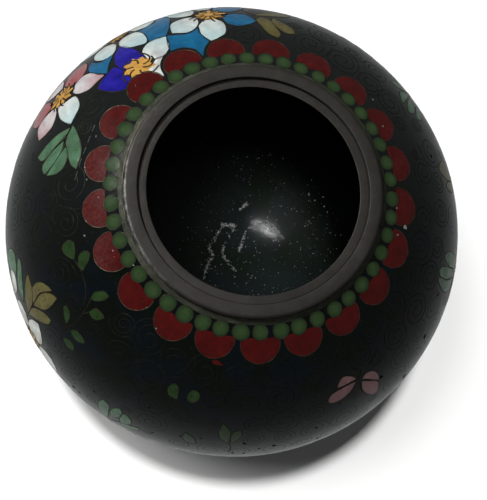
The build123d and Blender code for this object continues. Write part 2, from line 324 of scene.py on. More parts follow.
def rounded_section(corners, fillets, steps=5):
    """Closed section with each corner rounded by its own radius."""
    points = []
    count = len(corners)
    for i, radius in enumerate(fillets):
        here = np.array(corners[i], float)
        to_last = np.array(corners[i - 1], float) - here
        to_next = np.array(corners[(i + 1) % count], float) - here
        if radius <= 0:
            points.append(here)
            continue
        to_last /= np.linalg.norm(to_last)
        to_next /= np.linalg.norm(to_next)
        start, end = here + to_last * radius, here + to_next * radius
        for k in range(steps + 1):
            t = k / steps
            points.append((1 - t) ** 2 * start + 2 * t * (1 - t) * here + t ** 2 * end)
    return points


# ---------------------------------------------------------------- materials
class Paint:
    """A node material with a Principled shader and short helpers for its pattern."""

    def __init__(self, name):
        self.material = bpy.data.materials.new(name)
        self.material.use_nodes = True
        self.tree = self.material.node_tree
        self.shader = self.tree.nodes["Principled BSDF"]
        self.place = self.tree.nodes.new("ShaderNodeTexCoord").outputs["Object"]

    def node(self, kind, inputs=(), **settings):
        made = self.tree.nodes.new("ShaderNode" + kind)
        for key, value in settings.items():
            setattr(made, key, value)
        for key, value in dict(inputs).items():
            if isinstance(value, bpy.types.NodeSocket):
                self.tree.links.new(value, made.inputs[key])
            else:
                made.inputs[key].default_value = value
        return made

    def noise(self, scale_mm, detail=3.0, rough=0.5, distort=0.0):
        made = self.node("TexNoise", {
            "Vector": self.place, "Scale": 1.0 / (scale_mm * MM), "Detail": detail,
            "Roughness": rough, "Distortion": distort,
        })
        return made.outputs["Fac"]

    def spots(self, spacing_mm, size, soft=0.03):
        """1 in small round spots about this far apart, 0 between them."""
        cells = self.node("TexVoronoi", {"Vector": self.place, "Scale": 1.0 / (spacing_mm * MM)})
        return self.ramp(cells.outputs["Distance"], size, size + soft, 1.0, 0.0)

    def ramp(self, value, low, high, from_value=0.0, to_value=1.0):
        made = self.node("MapRange", {
            "Value": value, "From Min": low, "From Max": high, "To Min": from_value, "To Max": to_value,
        })
        return made.outputs["Result"]

    def maths(self, operation, a, b):
        return self.node("Math", {0: a, 1: b}, operation=operation).outputs[0]

    def blend(self, share, a, b):
        made = self.node("Mix", {"Factor": share}, data_type="RGBA")
        for socket, value in ((made.inputs[6], a), (made.inputs[7], b)):
            if isinstance(value, bpy.types.NodeSocket):
                self.tree.links.new(value, socket)
            else:
                socket.default_value = (*value, 1.0)
        return made.outputs[2]

    def tone(self):
        return self.node("Attribute", attribute_name="tone").outputs["Fac"]

    def towards(self, direction):
        """Distance from the jar's axis or floor along a direction, in metres."""
        made = self.node("VectorMath", {0: self.place, 1: direction}, operation="DOT_PRODUCT")
        return made.outputs["Value"]

    def radius(self):
        """Distance from the jar's axis, in metres."""
        across = self.maths("POWER", self.towards((1, 0, 0)), 2.0)
        away = self.maths("POWER", self.towards((0, 1, 0)), 2.0)
        return self.maths("SQRT", self.maths("ADD", across, away), 0.0)

    def bump(self, height, depth_mm, strength=1.0):
        made = self.node("Bump", {"Height": height, "Distance": depth_mm * MM, "Strength": strength})
        self.set("Normal", made.outputs["Normal"])

    def set(self, socket, value):
        if isinstance(value, bpy.types.NodeSocket):
            self.tree.links.new(value, self.shader.inputs[socket])
        elif hasattr(value, "__len__"):
            self.shader.inputs[socket].default_value = (*value, 1.0)
        else:
            self.shader.inputs[socket].default_value = value


def glass_paint(name, deep, light, tip=None, tip_from=0.45, tip_to=0.95, gloss=0.16, pits=0.1, stain=None,
                rubbed=None):
    """Opaque fired glass: cloudy colour, fine grain, tiny pits and a worn polish."""
    paint = Paint(name)
    cloud = paint.ramp(paint.noise(2.6, 4.0, 0.6), 0.35, 0.68)
    colour = paint.blend(cloud, deep, light)
    if stain is not None:
        share = paint.ramp(paint.noise(4.5, 2.0, 0.5), 0.50, 0.72, 0.0, 0.75)
        colour = paint.blend(share, colour, stain)
    if rubbed is not None:
        # Paler colour in patches on the side toward azimuth 210: partly wear, partly a painted sheen.
        painted_highlight_side = paint.ramp(paint.towards((-0.87, -0.5, 0)), 0.031, 0.035)
        share = paint.ramp(paint.noise(0.8, 4.0, 0.75), 0.40, 0.66, 0.1, 0.65)
        colour = paint.blend(paint.maths("MULTIPLY", painted_highlight_side, share), colour, rubbed)
    if tip is not None:
        share = paint.ramp(paint.tone(), tip_from, tip_to)
        colour = paint.blend(share, colour, tip)
    grain = paint.ramp(paint.noise(0.35, 2.0, 0.7), 0.3, 0.75, 0.0, 0.22)
    colour = paint.blend(grain, colour, tuple(c * 0.55 for c in deep))
    pit = paint.spots(0.95, pits)
    colour = paint.blend(paint.maths("MULTIPLY", pit, 0.8), colour, (0.012, 0.012, 0.010))
    paint.set("Base Color", colour)
    worn = paint.ramp(paint.noise(5.0, 5.0, 0.65), 0.4, 0.7, gloss, gloss + 0.08)
    paint.set("Roughness", worn)
    paint.shader.inputs["IOR"].default_value = 1.52
    relief = paint.maths("SUBTRACT", paint.noise(1.3, 3.0, 0.5), paint.maths("MULTIPLY", pit, 1.5))
    paint.bump(relief, 0.012)
    return paint.material


def ground_paint():
    """Dark ground glass: green-black clouded with navy, pitted, with a painted sheen on one side."""
    paint = Paint("dark_ground_glass")
    cloud = paint.ramp(paint.noise(9.0, 3.0, 0.55), 0.46, 0.66)
    colour = paint.blend(cloud, (0.0012, 0.0025, 0.0012), (0.0010, 0.0032, 0.0058))
    haze = paint.ramp(paint.noise(1.1, 4.0, 0.7), 0.5, 0.8, 0.0, 0.5)
    colour = paint.blend(haze, colour, (0.0040, 0.0065, 0.0048))
    # Lighter towards azimuth 120: a painted sheen.
    dust_film_and_sheen = paint.ramp(paint.towards((-0.5, 0.866, 0)), -0.018, 0.020, 0.0, 0.8)
    colour = paint.blend(dust_film_and_sheen, colour, (0.0092, 0.0102, 0.0096))
    pit = paint.spots(2.7, 0.055)
    colour = paint.blend(pit, colour, (0.0015, 0.0012, 0.0010))
    dust = paint.spots(1.9, 0.035, 0.02)
    colour = paint.blend(paint.maths("MULTIPLY", dust, 0.5), colour, (0.10, 0.10, 0.09))
    paint.set("Base Color", colour)
    worn = paint.ramp(paint.noise(4.0, 6.0, 0.7), 0.35, 0.75, 0.12, 0.22)
    paint.set("Roughness", worn)
    paint.shader.inputs["IOR"].default_value = 1.5
    relief = paint.maths("SUBTRACT", paint.noise(1.2, 5.0, 0.62), paint.maths("MULTIPLY", pit, 3.0))
    paint.bump(relief, 0.020)
    return paint.material


def lining_paint():
    """Glossy black-green counter glass, its bottom under a layer of dust with pale specks."""
    paint = Paint("black_lining_glass")
    cloud = paint.ramp(paint.noise(12.0, 3.0, 0.5), 0.4, 0.65)
    colour = paint.blend(cloud, (0.0007, 0.0018, 0.0007), (0.0009, 0.0022, 0.0016))
    dust_film_and_sheen = paint.blend(cloud, (0.018, 0.030, 0.019), (0.027, 0.040, 0.041))
    settled = paint.ramp(paint.towards((0, 0, 1)), lining_low + 0.002, lining_low + 0.008, 1.0, 0.0)
    colour = paint.blend(settled, colour, dust_film_and_sheen)
    unsettled = paint.maths("SUBTRACT", 1.0, settled)
    specks = paint.spots(1.35, 0.055, 0.03)
    sparse = paint.ramp(paint.noise(5.0, 2.0, 0.5), 0.47, 0.6)
    dust = paint.maths("MULTIPLY", specks, sparse)
    fine = paint.maths("MULTIPLY", paint.spots(0.7, 0.05, 0.03), 0.35)
    colour = paint.blend(paint.maths("MAXIMUM", dust, fine), colour, (0.30, 0.31, 0.30))
    paint.set("Base Color", colour)
    polish = paint.ramp(paint.noise(1.4, 4.0, 0.65), 0.35, 0.75, 0.07, 0.12)
    paint.set("Roughness", paint.maths("ADD", polish, paint.maths("MULTIPLY", 0.4, unsettled)))
    paint.shader.inputs["IOR"].default_value = 1.42
    paint.bump(paint.noise(1.6, 4.0, 0.6), 0.008)
    return paint.material


def brass_paint(name, dark, light, rough=0.36, metal=0.9, rings=True):
    """Patinated brass: brown-grey skin, turned marks, a rubbed outer edge lightened on one side as a painted
    glint, and brighter nicks.
    """
    paint = Paint(name)
    patina = paint.ramp(paint.noise(3.5, 6.0, 0.7, 0.4), 0.32, 0.7)
    colour = paint.blend(patina, dark, light)
    stain = paint.ramp(paint.noise(0.8, 4.0, 0.75), 0.55, 0.8, 0.0, 0.55)
    colour = paint.blend(stain, colour, (0.035, 0.026, 0.020))
    green = paint.ramp(paint.noise(6.0, 3.0, 0.6), 0.62, 0.78, 0.0, 0.35)
    colour = paint.blend(green, colour, (0.075, 0.085, 0.055))
    nick = paint.spots(1.7, 0.045, 0.03)
    colour = paint.blend(paint.maths("MULTIPLY", nick, 0.7), colour, tuple(min(1, c * 2.6) for c in light))
    dullness = paint.ramp(paint.noise(1.2, 5.0, 0.7), 0.3, 0.75, rough, rough + 0.2)
    relief = paint.noise(0.9, 4.0, 0.65)
    if rings:
        radius = paint.radius()
        turned = paint.node("TexNoise", {"W": paint.maths("MULTIPLY", radius, 9000.0), "Detail": 2.0},
                            noise_dimensions="1D")
        relief = paint.maths("ADD", relief, paint.maths("MULTIPLY", turned.outputs["Fac"], 0.8))
        # The rubbed edge is lightened only on the side toward azimuth 222: wear with a painted glint.
        at_edge = paint.ramp(radius, collar_radius - 0.0008, collar_radius - 0.0003)
        painted_highlight_side = paint.ramp(
            paint.towards((-0.74, -0.67, 0)), collar_radius * 0.78, collar_radius * 0.95,
        )
        patchy = paint.ramp(paint.noise(1.3, 4.0, 0.7), 0.40, 0.60)
        worn = paint.maths("MULTIPLY", at_edge, paint.maths("MULTIPLY", painted_highlight_side, patchy))
        colour = paint.blend(worn, colour, (0.24, 0.24, 0.235))
        dullness = paint.maths("SUBTRACT", dullness, paint.maths("MULTIPLY", worn, 0.14))
    paint.set("Base Color", colour)
    paint.set("Metallic", metal)
    paint.set("Roughness", dullness)
    paint.bump(relief, 0.02)
    return paint.material


def wire_paint(name, dark, light, rough=0.4, metallic=0.85):
    """Thin drawn wire, dulled between brighter rubbed stretches."""
    paint = Paint(name)
    rubbed = paint.ramp(paint.noise(2.2, 4.0, 0.65), 0.38, 0.68)
    paint.set("Base Color", paint.blend(rubbed, dark, light))
    paint.set("Metallic", metallic)
    paint.set("Roughness", paint.ramp(rubbed, 0.0, 1.0, rough + 0.15, rough))
    paint.bump(paint.noise(0.3, 2.0, 0.6), 0.01)
    return paint.material


def chalk_paint(name, dark, light, metal=0.0, rough=0.8):
    """Pale crumbs, matt, or half metallic where they paint a highlight."""
    paint = Paint(name)
    paint.set("Base Color", paint.blend(paint.noise(0.5, 2.0), dark, light))
    paint.set("Roughness", rough)
    paint.set("Metallic", metal)
    paint.bump(paint.noise(0.1, 2.0), 0.02)
    return paint.material


paints = {
    "ground": ground_paint(),
    "lining": lining_paint(),
    "bead": glass_paint("green_bead_glass", (0.023, 0.048, 0.015), (0.038, 0.070, 0.024),
                        tip=(0.014, 0.027, 0.011), tip_from=0.35, tip_to=1.0, gloss=0.15),
    # The red glass's rubbed colour is a painted sheen on one side as well as wear.
    "red": glass_paint("red_scallop_glass", (0.046, 0.0026, 0.0022), (0.074, 0.0044, 0.0036), gloss=0.17,
                       rubbed=(0.110, 0.035, 0.031)),
    "chalk": chalk_paint("chalky_residue", (0.84, 0.86, 0.85), (0.95, 0.96, 0.95)),
    # Bright crumbs that paint a highlight on the inside bottom.
    "highlight_crumbs": chalk_paint("painted_highlight_crumbs", (0.84, 0.86, 0.85), (0.93, 0.95, 0.94), metal=0.6, rough=0.34),
    "dust": chalk_paint("pale_wear", (0.10, 0.11, 0.11), (0.26, 0.27, 0.26)),
    "white": glass_paint("white_petal_glass", (0.47, 0.49, 0.45), (0.72, 0.75, 0.71), tip=(0.34, 0.52, 0.54),
                         tip_from=0.35, tip_to=1.2, gloss=0.15, pits=0.05, stain=(0.37, 0.33, 0.34)),
    "sky": glass_paint("sky_petal_glass", (0.0038, 0.080, 0.180), (0.0080, 0.128, 0.260), gloss=0.15,
                       pits=0.04),
    "cobalt": glass_paint("cobalt_petal_glass", (0.008, 0.004, 0.17), (0.016, 0.012, 0.30), gloss=0.15,
                          pits=0.04),
    "blush": glass_paint("blush_petal_glass", (0.44, 0.37, 0.38), (0.60, 0.60, 0.60), tip=(0.37, 0.19, 0.21),
                         tip_from=0.6, tip_to=1.05, gloss=0.16, pits=0.06),
    "rose": glass_paint("rose_petal_glass", (0.25, 0.058, 0.062), (0.35, 0.10, 0.105), tip=(0.28, 0.13, 0.13),
                        gloss=0.17, pits=0.07),
    "yellow": glass_paint("yellow_heart_glass", (0.42, 0.21, 0.035), (0.60, 0.34, 0.08), gloss=0.2,
                          pits=0.09),
    "pale_leaf": glass_paint("pale_leaf_glass", (0.045, 0.112, 0.058), (0.088, 0.180, 0.100), gloss=0.18,
                             pits=0.13, stain=(0.055, 0.095, 0.055)),
    "green_leaf": glass_paint("green_leaf_glass", (0.011, 0.030, 0.007), (0.022, 0.050, 0.013), gloss=0.2),
    "olive": glass_paint("olive_leaf_glass", (0.074, 0.060, 0.018), (0.126, 0.112, 0.034), gloss=0.2,
                         pits=0.14, stain=(0.085, 0.105, 0.030)),
    "wing": glass_paint("butterfly_wing_glass", (0.165, 0.080, 0.085), (0.225, 0.118, 0.120), gloss=0.18,
                        pits=0.08),
    "brass": brass_paint("patinated_brass", (0.028, 0.025, 0.021), (0.045, 0.041, 0.037), rough=0.42,
                         metal=0.55),
    "grime": brass_paint("grimy_solder", (0.032, 0.037, 0.026), (0.120, 0.125, 0.095), rough=0.6,
                         rings=False),
    "copper": brass_paint("raw_copper", (0.30, 0.12, 0.07), (0.48, 0.22, 0.14), rings=False),
    "gilt": wire_paint("rubbed_gilt_wire", (0.030, 0.028, 0.019), (0.15, 0.135, 0.095)),
    "dull_wire": wire_paint("dull_bronze_wire", (0.014, 0.013, 0.009), (0.070, 0.058, 0.038), rough=0.5),
    "scroll": wire_paint("dark_scroll_wire", (0.007, 0.010, 0.007), (0.030, 0.034, 0.022), rough=0.5),
}

# ---------------------------------------------------------------- decoration, point by point
# Outlines are azimuth, arc points; a third value of 1 marks a corner. Hearts are flower centres.
hearts = {"far": (127.4, 55.2), "blue": (157.4, 43.4), "low": (152.0, 64.6), "pink": (175.8, 60.0)}

spray_cells = [
    ("white", "far", [(124.3, 46.6), (125.2, 43.8), (128.0, 42.3), (130.6, 41.6, 1), (132.2, 44.0),
                      (132.8, 46.6), (131.9, 49.3), (129.6, 51.6, 1), (126.6, 51.6, 1), (124.8, 49.4)]),
    ("white", "far", [(132.4, 49.9), (133.9, 48.3), (136.8, 47.5), (140.7, 49.3, 1), (140.0, 52.0),
                      (138.9, 54.4), (136.6, 55.5), (133.6, 55.7, 1), (131.9, 54.6), (131.6, 52.0)]),
    ("white", "far", [(132.4, 57.2, 1), (135.2, 57.9), (137.3, 60.6), (138.0, 63.6), (136.6, 66.8),
                      (133.8, 68.2), (131.4, 66.0), (130.6, 62.6), (130.9, 59.2)]),
    ("sky", "far", [(114.2, 49.8, 1), (116.6, 48.0), (120.0, 47.1), (123.0, 48.2, 1), (123.8, 50.9),
                    (123.4, 53.2, 1), (120.4, 54.4), (117.4, 54.0), (115.6, 52.3)]),
    ("sky", "far", [(123.2, 56.6, 1), (120.4, 57.0), (117.6, 59.4), (116.6, 62.8), (118.0, 66.0),
                    (121.0, 66.8), (123.6, 64.6), (125.2, 61.4), (125.2, 58.6, 1)]),
    ("white", "far", [(126.4, 61.2, 1), (124.9, 64.6), (124.8, 68.2), (127.0, 70.4), (129.4, 68.6),
                      (129.9, 64.8), (129.0, 61.2, 1)]),
    ("sky", None, [(136.0, 36.9, 1), (136.9, 39.6), (138.9, 41.2), (141.6, 42.3), (145.0, 42.6, 1),
                   (144.1, 45.4), (142.6, 48.8, 1), (140.0, 47.6), (136.8, 46.6), (133.6, 47.5),
                   (132.7, 48.6, 1), (133.2, 45.6), (132.6, 43.2), (131.6, 41.4, 1), (134.1, 39.5)]),
    ("sky", None, [(142.8, 49.5, 1), (145.4, 50.0), (148.0, 50.2, 1), (147.2, 54.0), (146.9, 57.4),
                   (147.4, 59.3, 1), (144.2, 59.7), (141.6, 61.4), (140.0, 64.2), (138.4, 64.6, 1),
                   (137.8, 60.4), (138.9, 56.4), (140.6, 52.6)]),
    ("white", "blue", [(143.3, 48.9, 1), (144.6, 44.6), (147.1, 42.6), (150.2, 42.1, 1), (153.0, 44.3, 1),
                       (152.3, 47.4), (149.9, 49.2), (147.4, 49.7), (145.0, 49.2)]),
    ("white", "blue", [(153.7, 36.2, 1), (154.9, 38.4), (156.9, 40.2, 1), (153.6, 41.2), (150.9, 42.2),
                       (149.0, 41.9, 1), (151.4, 40.3), (152.9, 38.4)]),
    ("cobalt", "blue", [(153.3, 45.2, 1), (153.2, 48.8), (153.8, 52.0), (154.8, 56.2, 1), (157.4, 54.3),
                        (159.8, 51.6), (161.0, 48.8), (160.9, 46.2, 1), (158.6, 46.1), (155.8, 46.0)]),
    ("cobalt", "blue", [(161.8, 41.3, 1), (164.0, 40.8), (166.6, 41.0), (169.0, 42.8), (170.3, 45.4),
                        (170.7, 47.9, 1), (167.9, 48.9), (165.0, 49.2), (162.2, 49.6, 1), (161.6, 46.6),
                        (162.6, 44.0)]),
    ("white", "low", [(149.2, 50.6), (151.6, 51.4), (154.0, 53.0, 1), (154.6, 56.2), (153.4, 59.4),
                      (151.0, 60.9, 1), (148.4, 60.0), (147.5, 57.0), (147.7, 53.2)]),
    ("white", "low", [(158.6, 55.2), (156.6, 56.4), (154.9, 59.0, 1), (155.2, 61.8), (157.0, 63.8, 1),
                      (159.6, 63.2), (161.5, 60.8), (161.9, 58.0), (160.8, 55.9)]),
    ("white", "low", [(147.6, 61.4, 1), (144.6, 60.4), (141.9, 62.8), (141.0, 66.2), (142.6, 69.4),
                      (145.8, 69.4), (148.2, 66.8, 1)]),
    ("white", "low", [(156.4, 66.0, 1), (158.8, 65.4), (161.6, 67.0), (162.6, 70.4), (160.6, 73.4),
                      (157.4, 72.6), (155.0, 69.2, 1)]),
    ("white", "low", [(150.4, 68.6, 1), (148.0, 71.0), (148.0, 74.8), (150.4, 77.0), (153.2, 75.2),
                      (153.8, 71.6), (152.8, 68.6, 1)]),
    ("sky", None, [(164.8, 49.8, 1), (162.0, 52.2), (158.6, 54.6, 1), (161.4, 55.1), (163.0, 56.6),
                   (163.3, 59.6, 1), (165.2, 58.2), (166.3, 55.6), (165.8, 52.4)]),
    ("blush", "pink", [(165.8, 50.0, 1), (168.6, 50.4), (171.9, 50.9), (174.0, 53.4), (173.9, 55.8, 1),
                       (171.4, 57.3), (168.6, 57.4), (166.7, 55.0), (166.6, 52.2)]),
    ("white", "pink", [(175.4, 54.0), (176.6, 51.4), (179.0, 49.9), (184.2, 49.8, 1), (183.2, 53.4),
                       (181.4, 55.9), (179.2, 58.0, 1), (177.4, 55.9)]),
    ("blush", "pink", [(179.6, 59.4, 1), (181.6, 57.4), (185.0, 56.5), (187.4, 57.6), (189.3, 59.8, 1),
                       (187.4, 61.7), (185.4, 63.1), (182.6, 62.4)]),
    ("rose", "pink", [(168.3, 57.9), (171.4, 58.4, 1), (172.2, 61.2), (170.8, 64.2), (167.4, 65.9),
                      (164.6, 64.8), (163.8, 62.4), (165.4, 59.6)]),
    ("rose", "pink", [(179.4, 62.0, 1), (182.3, 63.2), (184.8, 64.4), (184.6, 67.4), (182.6, 70.4),
                      (179.6, 71.6), (177.5, 69.0), (177.6, 65.4)]),
    ("blush", "pink", [(172.8, 63.6, 1), (175.6, 65.6, 1), (176.4, 68.6), (175.2, 72.0), (172.4, 73.2),
                       (170.0, 71.0), (170.4, 67.0)]),
    ("white", None, [(236.3, 69.1, 1), (238.3, 70.9), (239.9, 73.8), (239.5, 76.3), (237.5, 77.6, 1),
                     (234.4, 76.6), (233.9, 73.4), (234.7, 70.9)]),
    ("white", None, [(227.7, 76.8, 1), (228.9, 75.0), (231.9, 74.7), (233.9, 76.6), (234.4, 79.0, 1),
                     (232.6, 82.0), (229.8, 82.6), (227.9, 80.2)]),
    ("white", None, [(239.6, 78.6, 1), (241.5, 76.3), (244.4, 75.9), (246.6, 78.6), (246.2, 82.4),
                     (242.8, 84.0), (240.0, 82.2)]),
    ("white", None, [(220.5, 74.8, 1), (222.5, 72.6), (225.2, 74.2), (225.6, 77.2, 1), (222.6, 76.8)]),
]
heart_sizes = {"far": 4.1, "blue": 4.2, "low": 2.8, "pink": 4.0}
heart_curls = {"far": 0.15, "blue": 1.15, "low": 0.6, "pink": 0.3}
heart_wires = {"far": 13, "blue": 6, "low": 8, "pink": 10}

leaf_cells = {
    "pale_leaf": [
        [(184.7, 48.6, 1), (186.5, 46.7), (190.2, 44.3), (194.2, 43.2), (199.0, 43.6, 1), (197.2, 45.4),
         (193.5, 47.1), (189.6, 48.8)],
        [(191.6, 48.2, 1), (195.0, 47.1), (198.3, 47.6), (200.1, 49.4), (200.4, 52.6, 1), (197.6, 51.0),
         (194.8, 49.6)],
        [(190.0, 49.7, 1), (193.1, 49.4), (196.4, 50.7), (199.8, 53.0), (198.4, 54.6), (196.2, 54.6, 1),
         (192.8, 52.0)],
        [(185.6, 49.4, 1), (189.0, 50.0), (192.0, 52.2), (195.0, 54.2), (195.7, 55.9), (194.6, 57.7, 1),
         (192.0, 55.9), (188.4, 53.0)],
        [(219.6, 66.4), (222.0, 66.4), (225.1, 68.1), (227.9, 70.2), (229.1, 72.3, 1), (225.5, 72.0),
         (222.4, 69.7), (220.2, 67.8)],
        [(216.0, 70.9), (218.0, 69.0), (221.0, 69.6), (222.6, 71.6, 1), (220.4, 75.0), (217.6, 77.4, 1),
         (215.7, 74.2)],
        [(6.6, 56.6), (7.7, 58.6), (8.1, 61.4), (9.6, 64.9), (11.2, 68.0, 1), (8.4, 67.6), (6.4, 65.4),
         (5.3, 61.8), (5.5, 58.8)],
        [(8.6, 55.6), (10.3, 56.8), (11.3, 59.7), (12.1, 63.6), (12.2, 66.8, 1), (9.9, 64.2), (8.5, 61.0),
         (7.7, 58.0)],
        [(13.5, 56.8), (15.1, 58.4), (15.9, 60.9), (16.1, 64.3), (16.6, 70.6, 1), (14.6, 69.4), (13.2, 66.2),
         (12.5, 62.6), (12.5, 59.4)],
        [(4.4, 69.6), (8.2, 69.2), (12.0, 70.0), (15.4, 72.4, 1), (12.2, 73.8), (8.0, 73.2), (5.2, 71.6)],
        [(54.4, 54.9), (55.7, 54.7), (57.5, 57.2), (58.8, 59.8, 1), (56.5, 60.1), (54.8, 58.0)],
        [(57.7, 51.8, 1), (59.5, 53.4), (60.7, 55.5), (61.6, 58.9, 1), (59.5, 57.6), (57.4, 55.1),
         (56.9, 53.0)],
        [(60.7, 51.8, 1), (62.9, 53.0), (64.3, 55.1), (64.1, 58.0), (62.5, 59.7, 1), (62.1, 57.6),
         (61.5, 54.7)],
        [(68.5, 55.1, 1), (68.1, 57.6), (66.1, 59.6), (63.8, 60.6, 1), (64.9, 58.2), (66.4, 56.0)],
        [(260.5, 69.5, 1), (262.5, 70.5), (263.1, 74.3), (263.6, 80.0, 1), (261.5, 77.8), (260.0, 73.4)],
        [(265.3, 68.6), (266.2, 70.4), (266.0, 73.4), (264.4, 76.6, 1), (263.6, 73.4), (264.0, 70.2)],
        [(267.2, 69.7), (268.9, 71.6), (269.0, 74.6), (266.9, 77.0, 1), (266.3, 73.6), (266.4, 71.0)],
        [(271.7, 73.8, 1), (271.2, 76.2), (268.4, 78.6), (264.6, 80.0, 1), (266.6, 77.6), (269.2, 75.2)],
    ],
    "green_leaf": [
        [(227.6, 46.6, 1), (225.1, 45.7), (222.8, 45.5), (221.6, 46.8), (222.7, 48.7), (225.0, 48.4)],
        [(231.9, 45.5, 1), (229.9, 43.2), (228.0, 42.3), (226.8, 43.4), (227.5, 45.0), (229.8, 45.8)],
        [(243.3, 43.2, 1), (241.4, 43.4), (239.7, 45.4), (240.4, 47.2, 1), (241.9, 46.3), (243.1, 44.6)],
        [(243.1, 49.8, 1), (243.6, 48.0), (245.4, 47.4), (247.2, 47.5, 1), (246.4, 49.2), (244.8, 50.0)],
        [(241.3, 57.8, 1), (239.6, 57.0), (237.6, 55.6), (237.7, 54.7, 1), (239.6, 54.9), (240.9, 56.2)],
        [(243.4, 58.0, 1), (244.5, 56.5), (246.6, 56.1), (248.2, 56.9), (246.8, 58.3), (245.0, 58.5)],
        [(243.4, 61.8, 1), (244.8, 60.6), (246.6, 60.6), (247.4, 61.8), (246.0, 62.8), (244.6, 62.6)],
        [(277.2, 54.9, 1), (274.9, 54.6), (273.9, 52.6), (274.9, 51.0), (276.3, 51.6), (276.8, 53.2)],
        [(279.7, 52.0), (280.8, 50.9), (282.4, 51.4), (282.5, 53.4), (281.2, 54.6, 1), (279.8, 53.8)],
        [(290.8, 60.0, 1), (292.6, 62.2), (293.2, 65.0), (293.0, 68.4, 1), (291.0, 66.2), (290.2, 63.2)],
        [(295.6, 62.0, 1), (295.8, 64.8), (293.9, 68.4, 1), (293.6, 65.0), (294.2, 62.6)],
        [(282.2, 66.4, 1), (284.4, 68.0), (285.6, 71.4, 1), (283.4, 71.4), (282.0, 69.2)],
    ],
    "olive": [
        [(101.4, 47.1, 1), (104.3, 46.3), (107.2, 48.2), (109.0, 51.7), (108.7, 53.6, 1), (105.4, 51.5),
         (102.4, 49.4)],
        [(106.8, 43.2, 1), (110.1, 44.4), (112.3, 47.5), (113.8, 50.9), (112.3, 53.2, 1), (109.8, 52.0),
         (107.9, 48.2), (106.2, 45.0)],
        [(114.0, 54.0, 1), (111.6, 56.8), (107.8, 59.6), (103.4, 61.0, 1), (104.4, 58.0), (108.2, 55.4)],
        [(231.5, 66.2, 1), (228.4, 63.9), (227.9, 60.9), (228.8, 58.8), (230.7, 57.2), (232.0, 56.8, 1),
         (230.9, 59.4), (230.5, 62.0)],
        [(234.5, 56.3, 1), (235.1, 59.7), (234.7, 62.6), (232.7, 65.5), (232.0, 66.4, 1), (231.1, 62.6),
         (231.3, 59.7), (232.5, 57.5)],
        [(238.0, 62.4, 1), (238.1, 64.3), (235.9, 67.6), (233.5, 70.5), (232.6, 72.2, 1), (232.3, 67.8),
         (234.3, 64.5), (236.3, 62.9)],
        [(224.6, 63.8, 1), (227.9, 64.0), (230.7, 66.1), (231.8, 68.6), (232.3, 72.2, 1), (229.1, 69.7),
         (226.7, 67.2), (225.1, 65.2)],
        [(38.8, 54.9, 1), (41.0, 57.6), (41.6, 60.9), (40.2, 63.9), (38.2, 65.6, 1), (36.6, 62.6),
         (36.3, 59.3), (37.2, 56.5)],
        [(34.2, 57.8, 1), (35.6, 60.0), (36.0, 63.0), (37.4, 66.2, 1), (34.4, 65.0), (33.1, 61.6),
         (33.2, 59.0)],
    ],
}

butterfly_cells = [
    [(322.3, 53.9, 1), (323.1, 52.4), (324.7, 51.6), (326.7, 52.6), (328.1, 54.2, 1), (325.5, 54.2)],
    [(319.1, 57.2), (319.9, 55.6), (322.3, 54.9), (325.4, 54.9), (327.7, 55.2, 1), (325.5, 57.3),
     (322.3, 58.4), (320.0, 58.2)],
    [(329.9, 55.6, 1), (331.4, 54.8), (333.4, 55.5), (334.5, 57.8), (334.5, 60.1, 1), (332.6, 58.2),
     (331.1, 56.6)],
    [(329.6, 56.4, 1), (331.8, 58.2), (333.8, 60.4), (333.9, 62.6), (333.1, 65.1, 1), (331.8, 64.6),
     (330.2, 62.2), (329.2, 59.4)],
]

# vein, stem and outline wires that close no cell, as open paths
stem_paths = [
    [(184.7, 48.8), (187.6, 49.0), (191.2, 48.9), (195.0, 49.8), (198.0, 51.6), (200.2, 53.4)],
    [(187.4, 49.4), (191.4, 51.6), (194.6, 53.6), (197.4, 55.0)],
    [(176.0, 57.4), (180.4, 54.6), (184.6, 49.4)],
    [(114.4, 53.8), (118.0, 60.0), (119.4, 67.0), (122.4, 74.0), (128.0, 80.0), (136.0, 84.0)],
    [(227.9, 46.4), (232.0, 46.0), (236.4, 46.8), (239.4, 48.6), (241.0, 51.6)],
    [(240.6, 47.4), (241.6, 49.6), (242.4, 52.4), (242.8, 56.0), (241.9, 59.4), (242.6, 62.0), (243.4, 63.4)],
    [(243.1, 50.0), (242.4, 51.4)],
    [(241.4, 57.9), (242.2, 59.2)],
    [(243.4, 58.2), (242.4, 59.6)],
    [(232.0, 66.2), (232.2, 70.0), (232.4, 73.0), (233.4, 77.0)],
    [(12.4, 67.0), (13.6, 72.0), (14.2, 76.0), (17.0, 80.0)],
    [(62.4, 59.9), (62.8, 63.6), (64.6, 67.4)],
    [(38.2, 65.8), (38.6, 69.0), (40.4, 72.4)],
    [(264.0, 80.2), (264.4, 84.0), (266.4, 88.0)],
    [(293.4, 68.6), (294.2, 72.0), (293.6, 75.0)],
    [(328.2, 54.4), (329.0, 55.4), (328.8, 57.2), (328.6, 59.0)],
    [(328.9, 54.6), (328.2, 52.2), (326.8, 50.6)],
    [(329.3, 54.6), (330.2, 52.4), (331.6, 51.0)],
]

# five-petalled flowers: heart, radius, first petal's direction, glass, which of the petals are there
side_flowers = [
    ((236.8, 80.6), 9.6, 90, "white", (2, 3)),
    ((168.0, 84.0), 9.4, 70, "sky", (0, 1, 2, 3, 4)),
    ((139.0, 80.6), 8.6, 40, "rose", (0, 1, 2, 3, 4)),
    ((186.0, 82.0), 7.6, 20, "white", (0, 1, 2, 3, 4)),
    ((150.6, 94.0), 8.8, 100, "white", (0, 1, 2, 3, 4)),
    ((24.0, 92.0), 7.6, 55, "blush", (0, 1, 2, 3, 4)),
    ((72.0, 86.0), 8.2, 80, "sky", (0, 1, 2, 3, 4)),
    ((300.0, 96.0), 7.8, 30, "white", (0, 1, 2, 3, 4)),
]
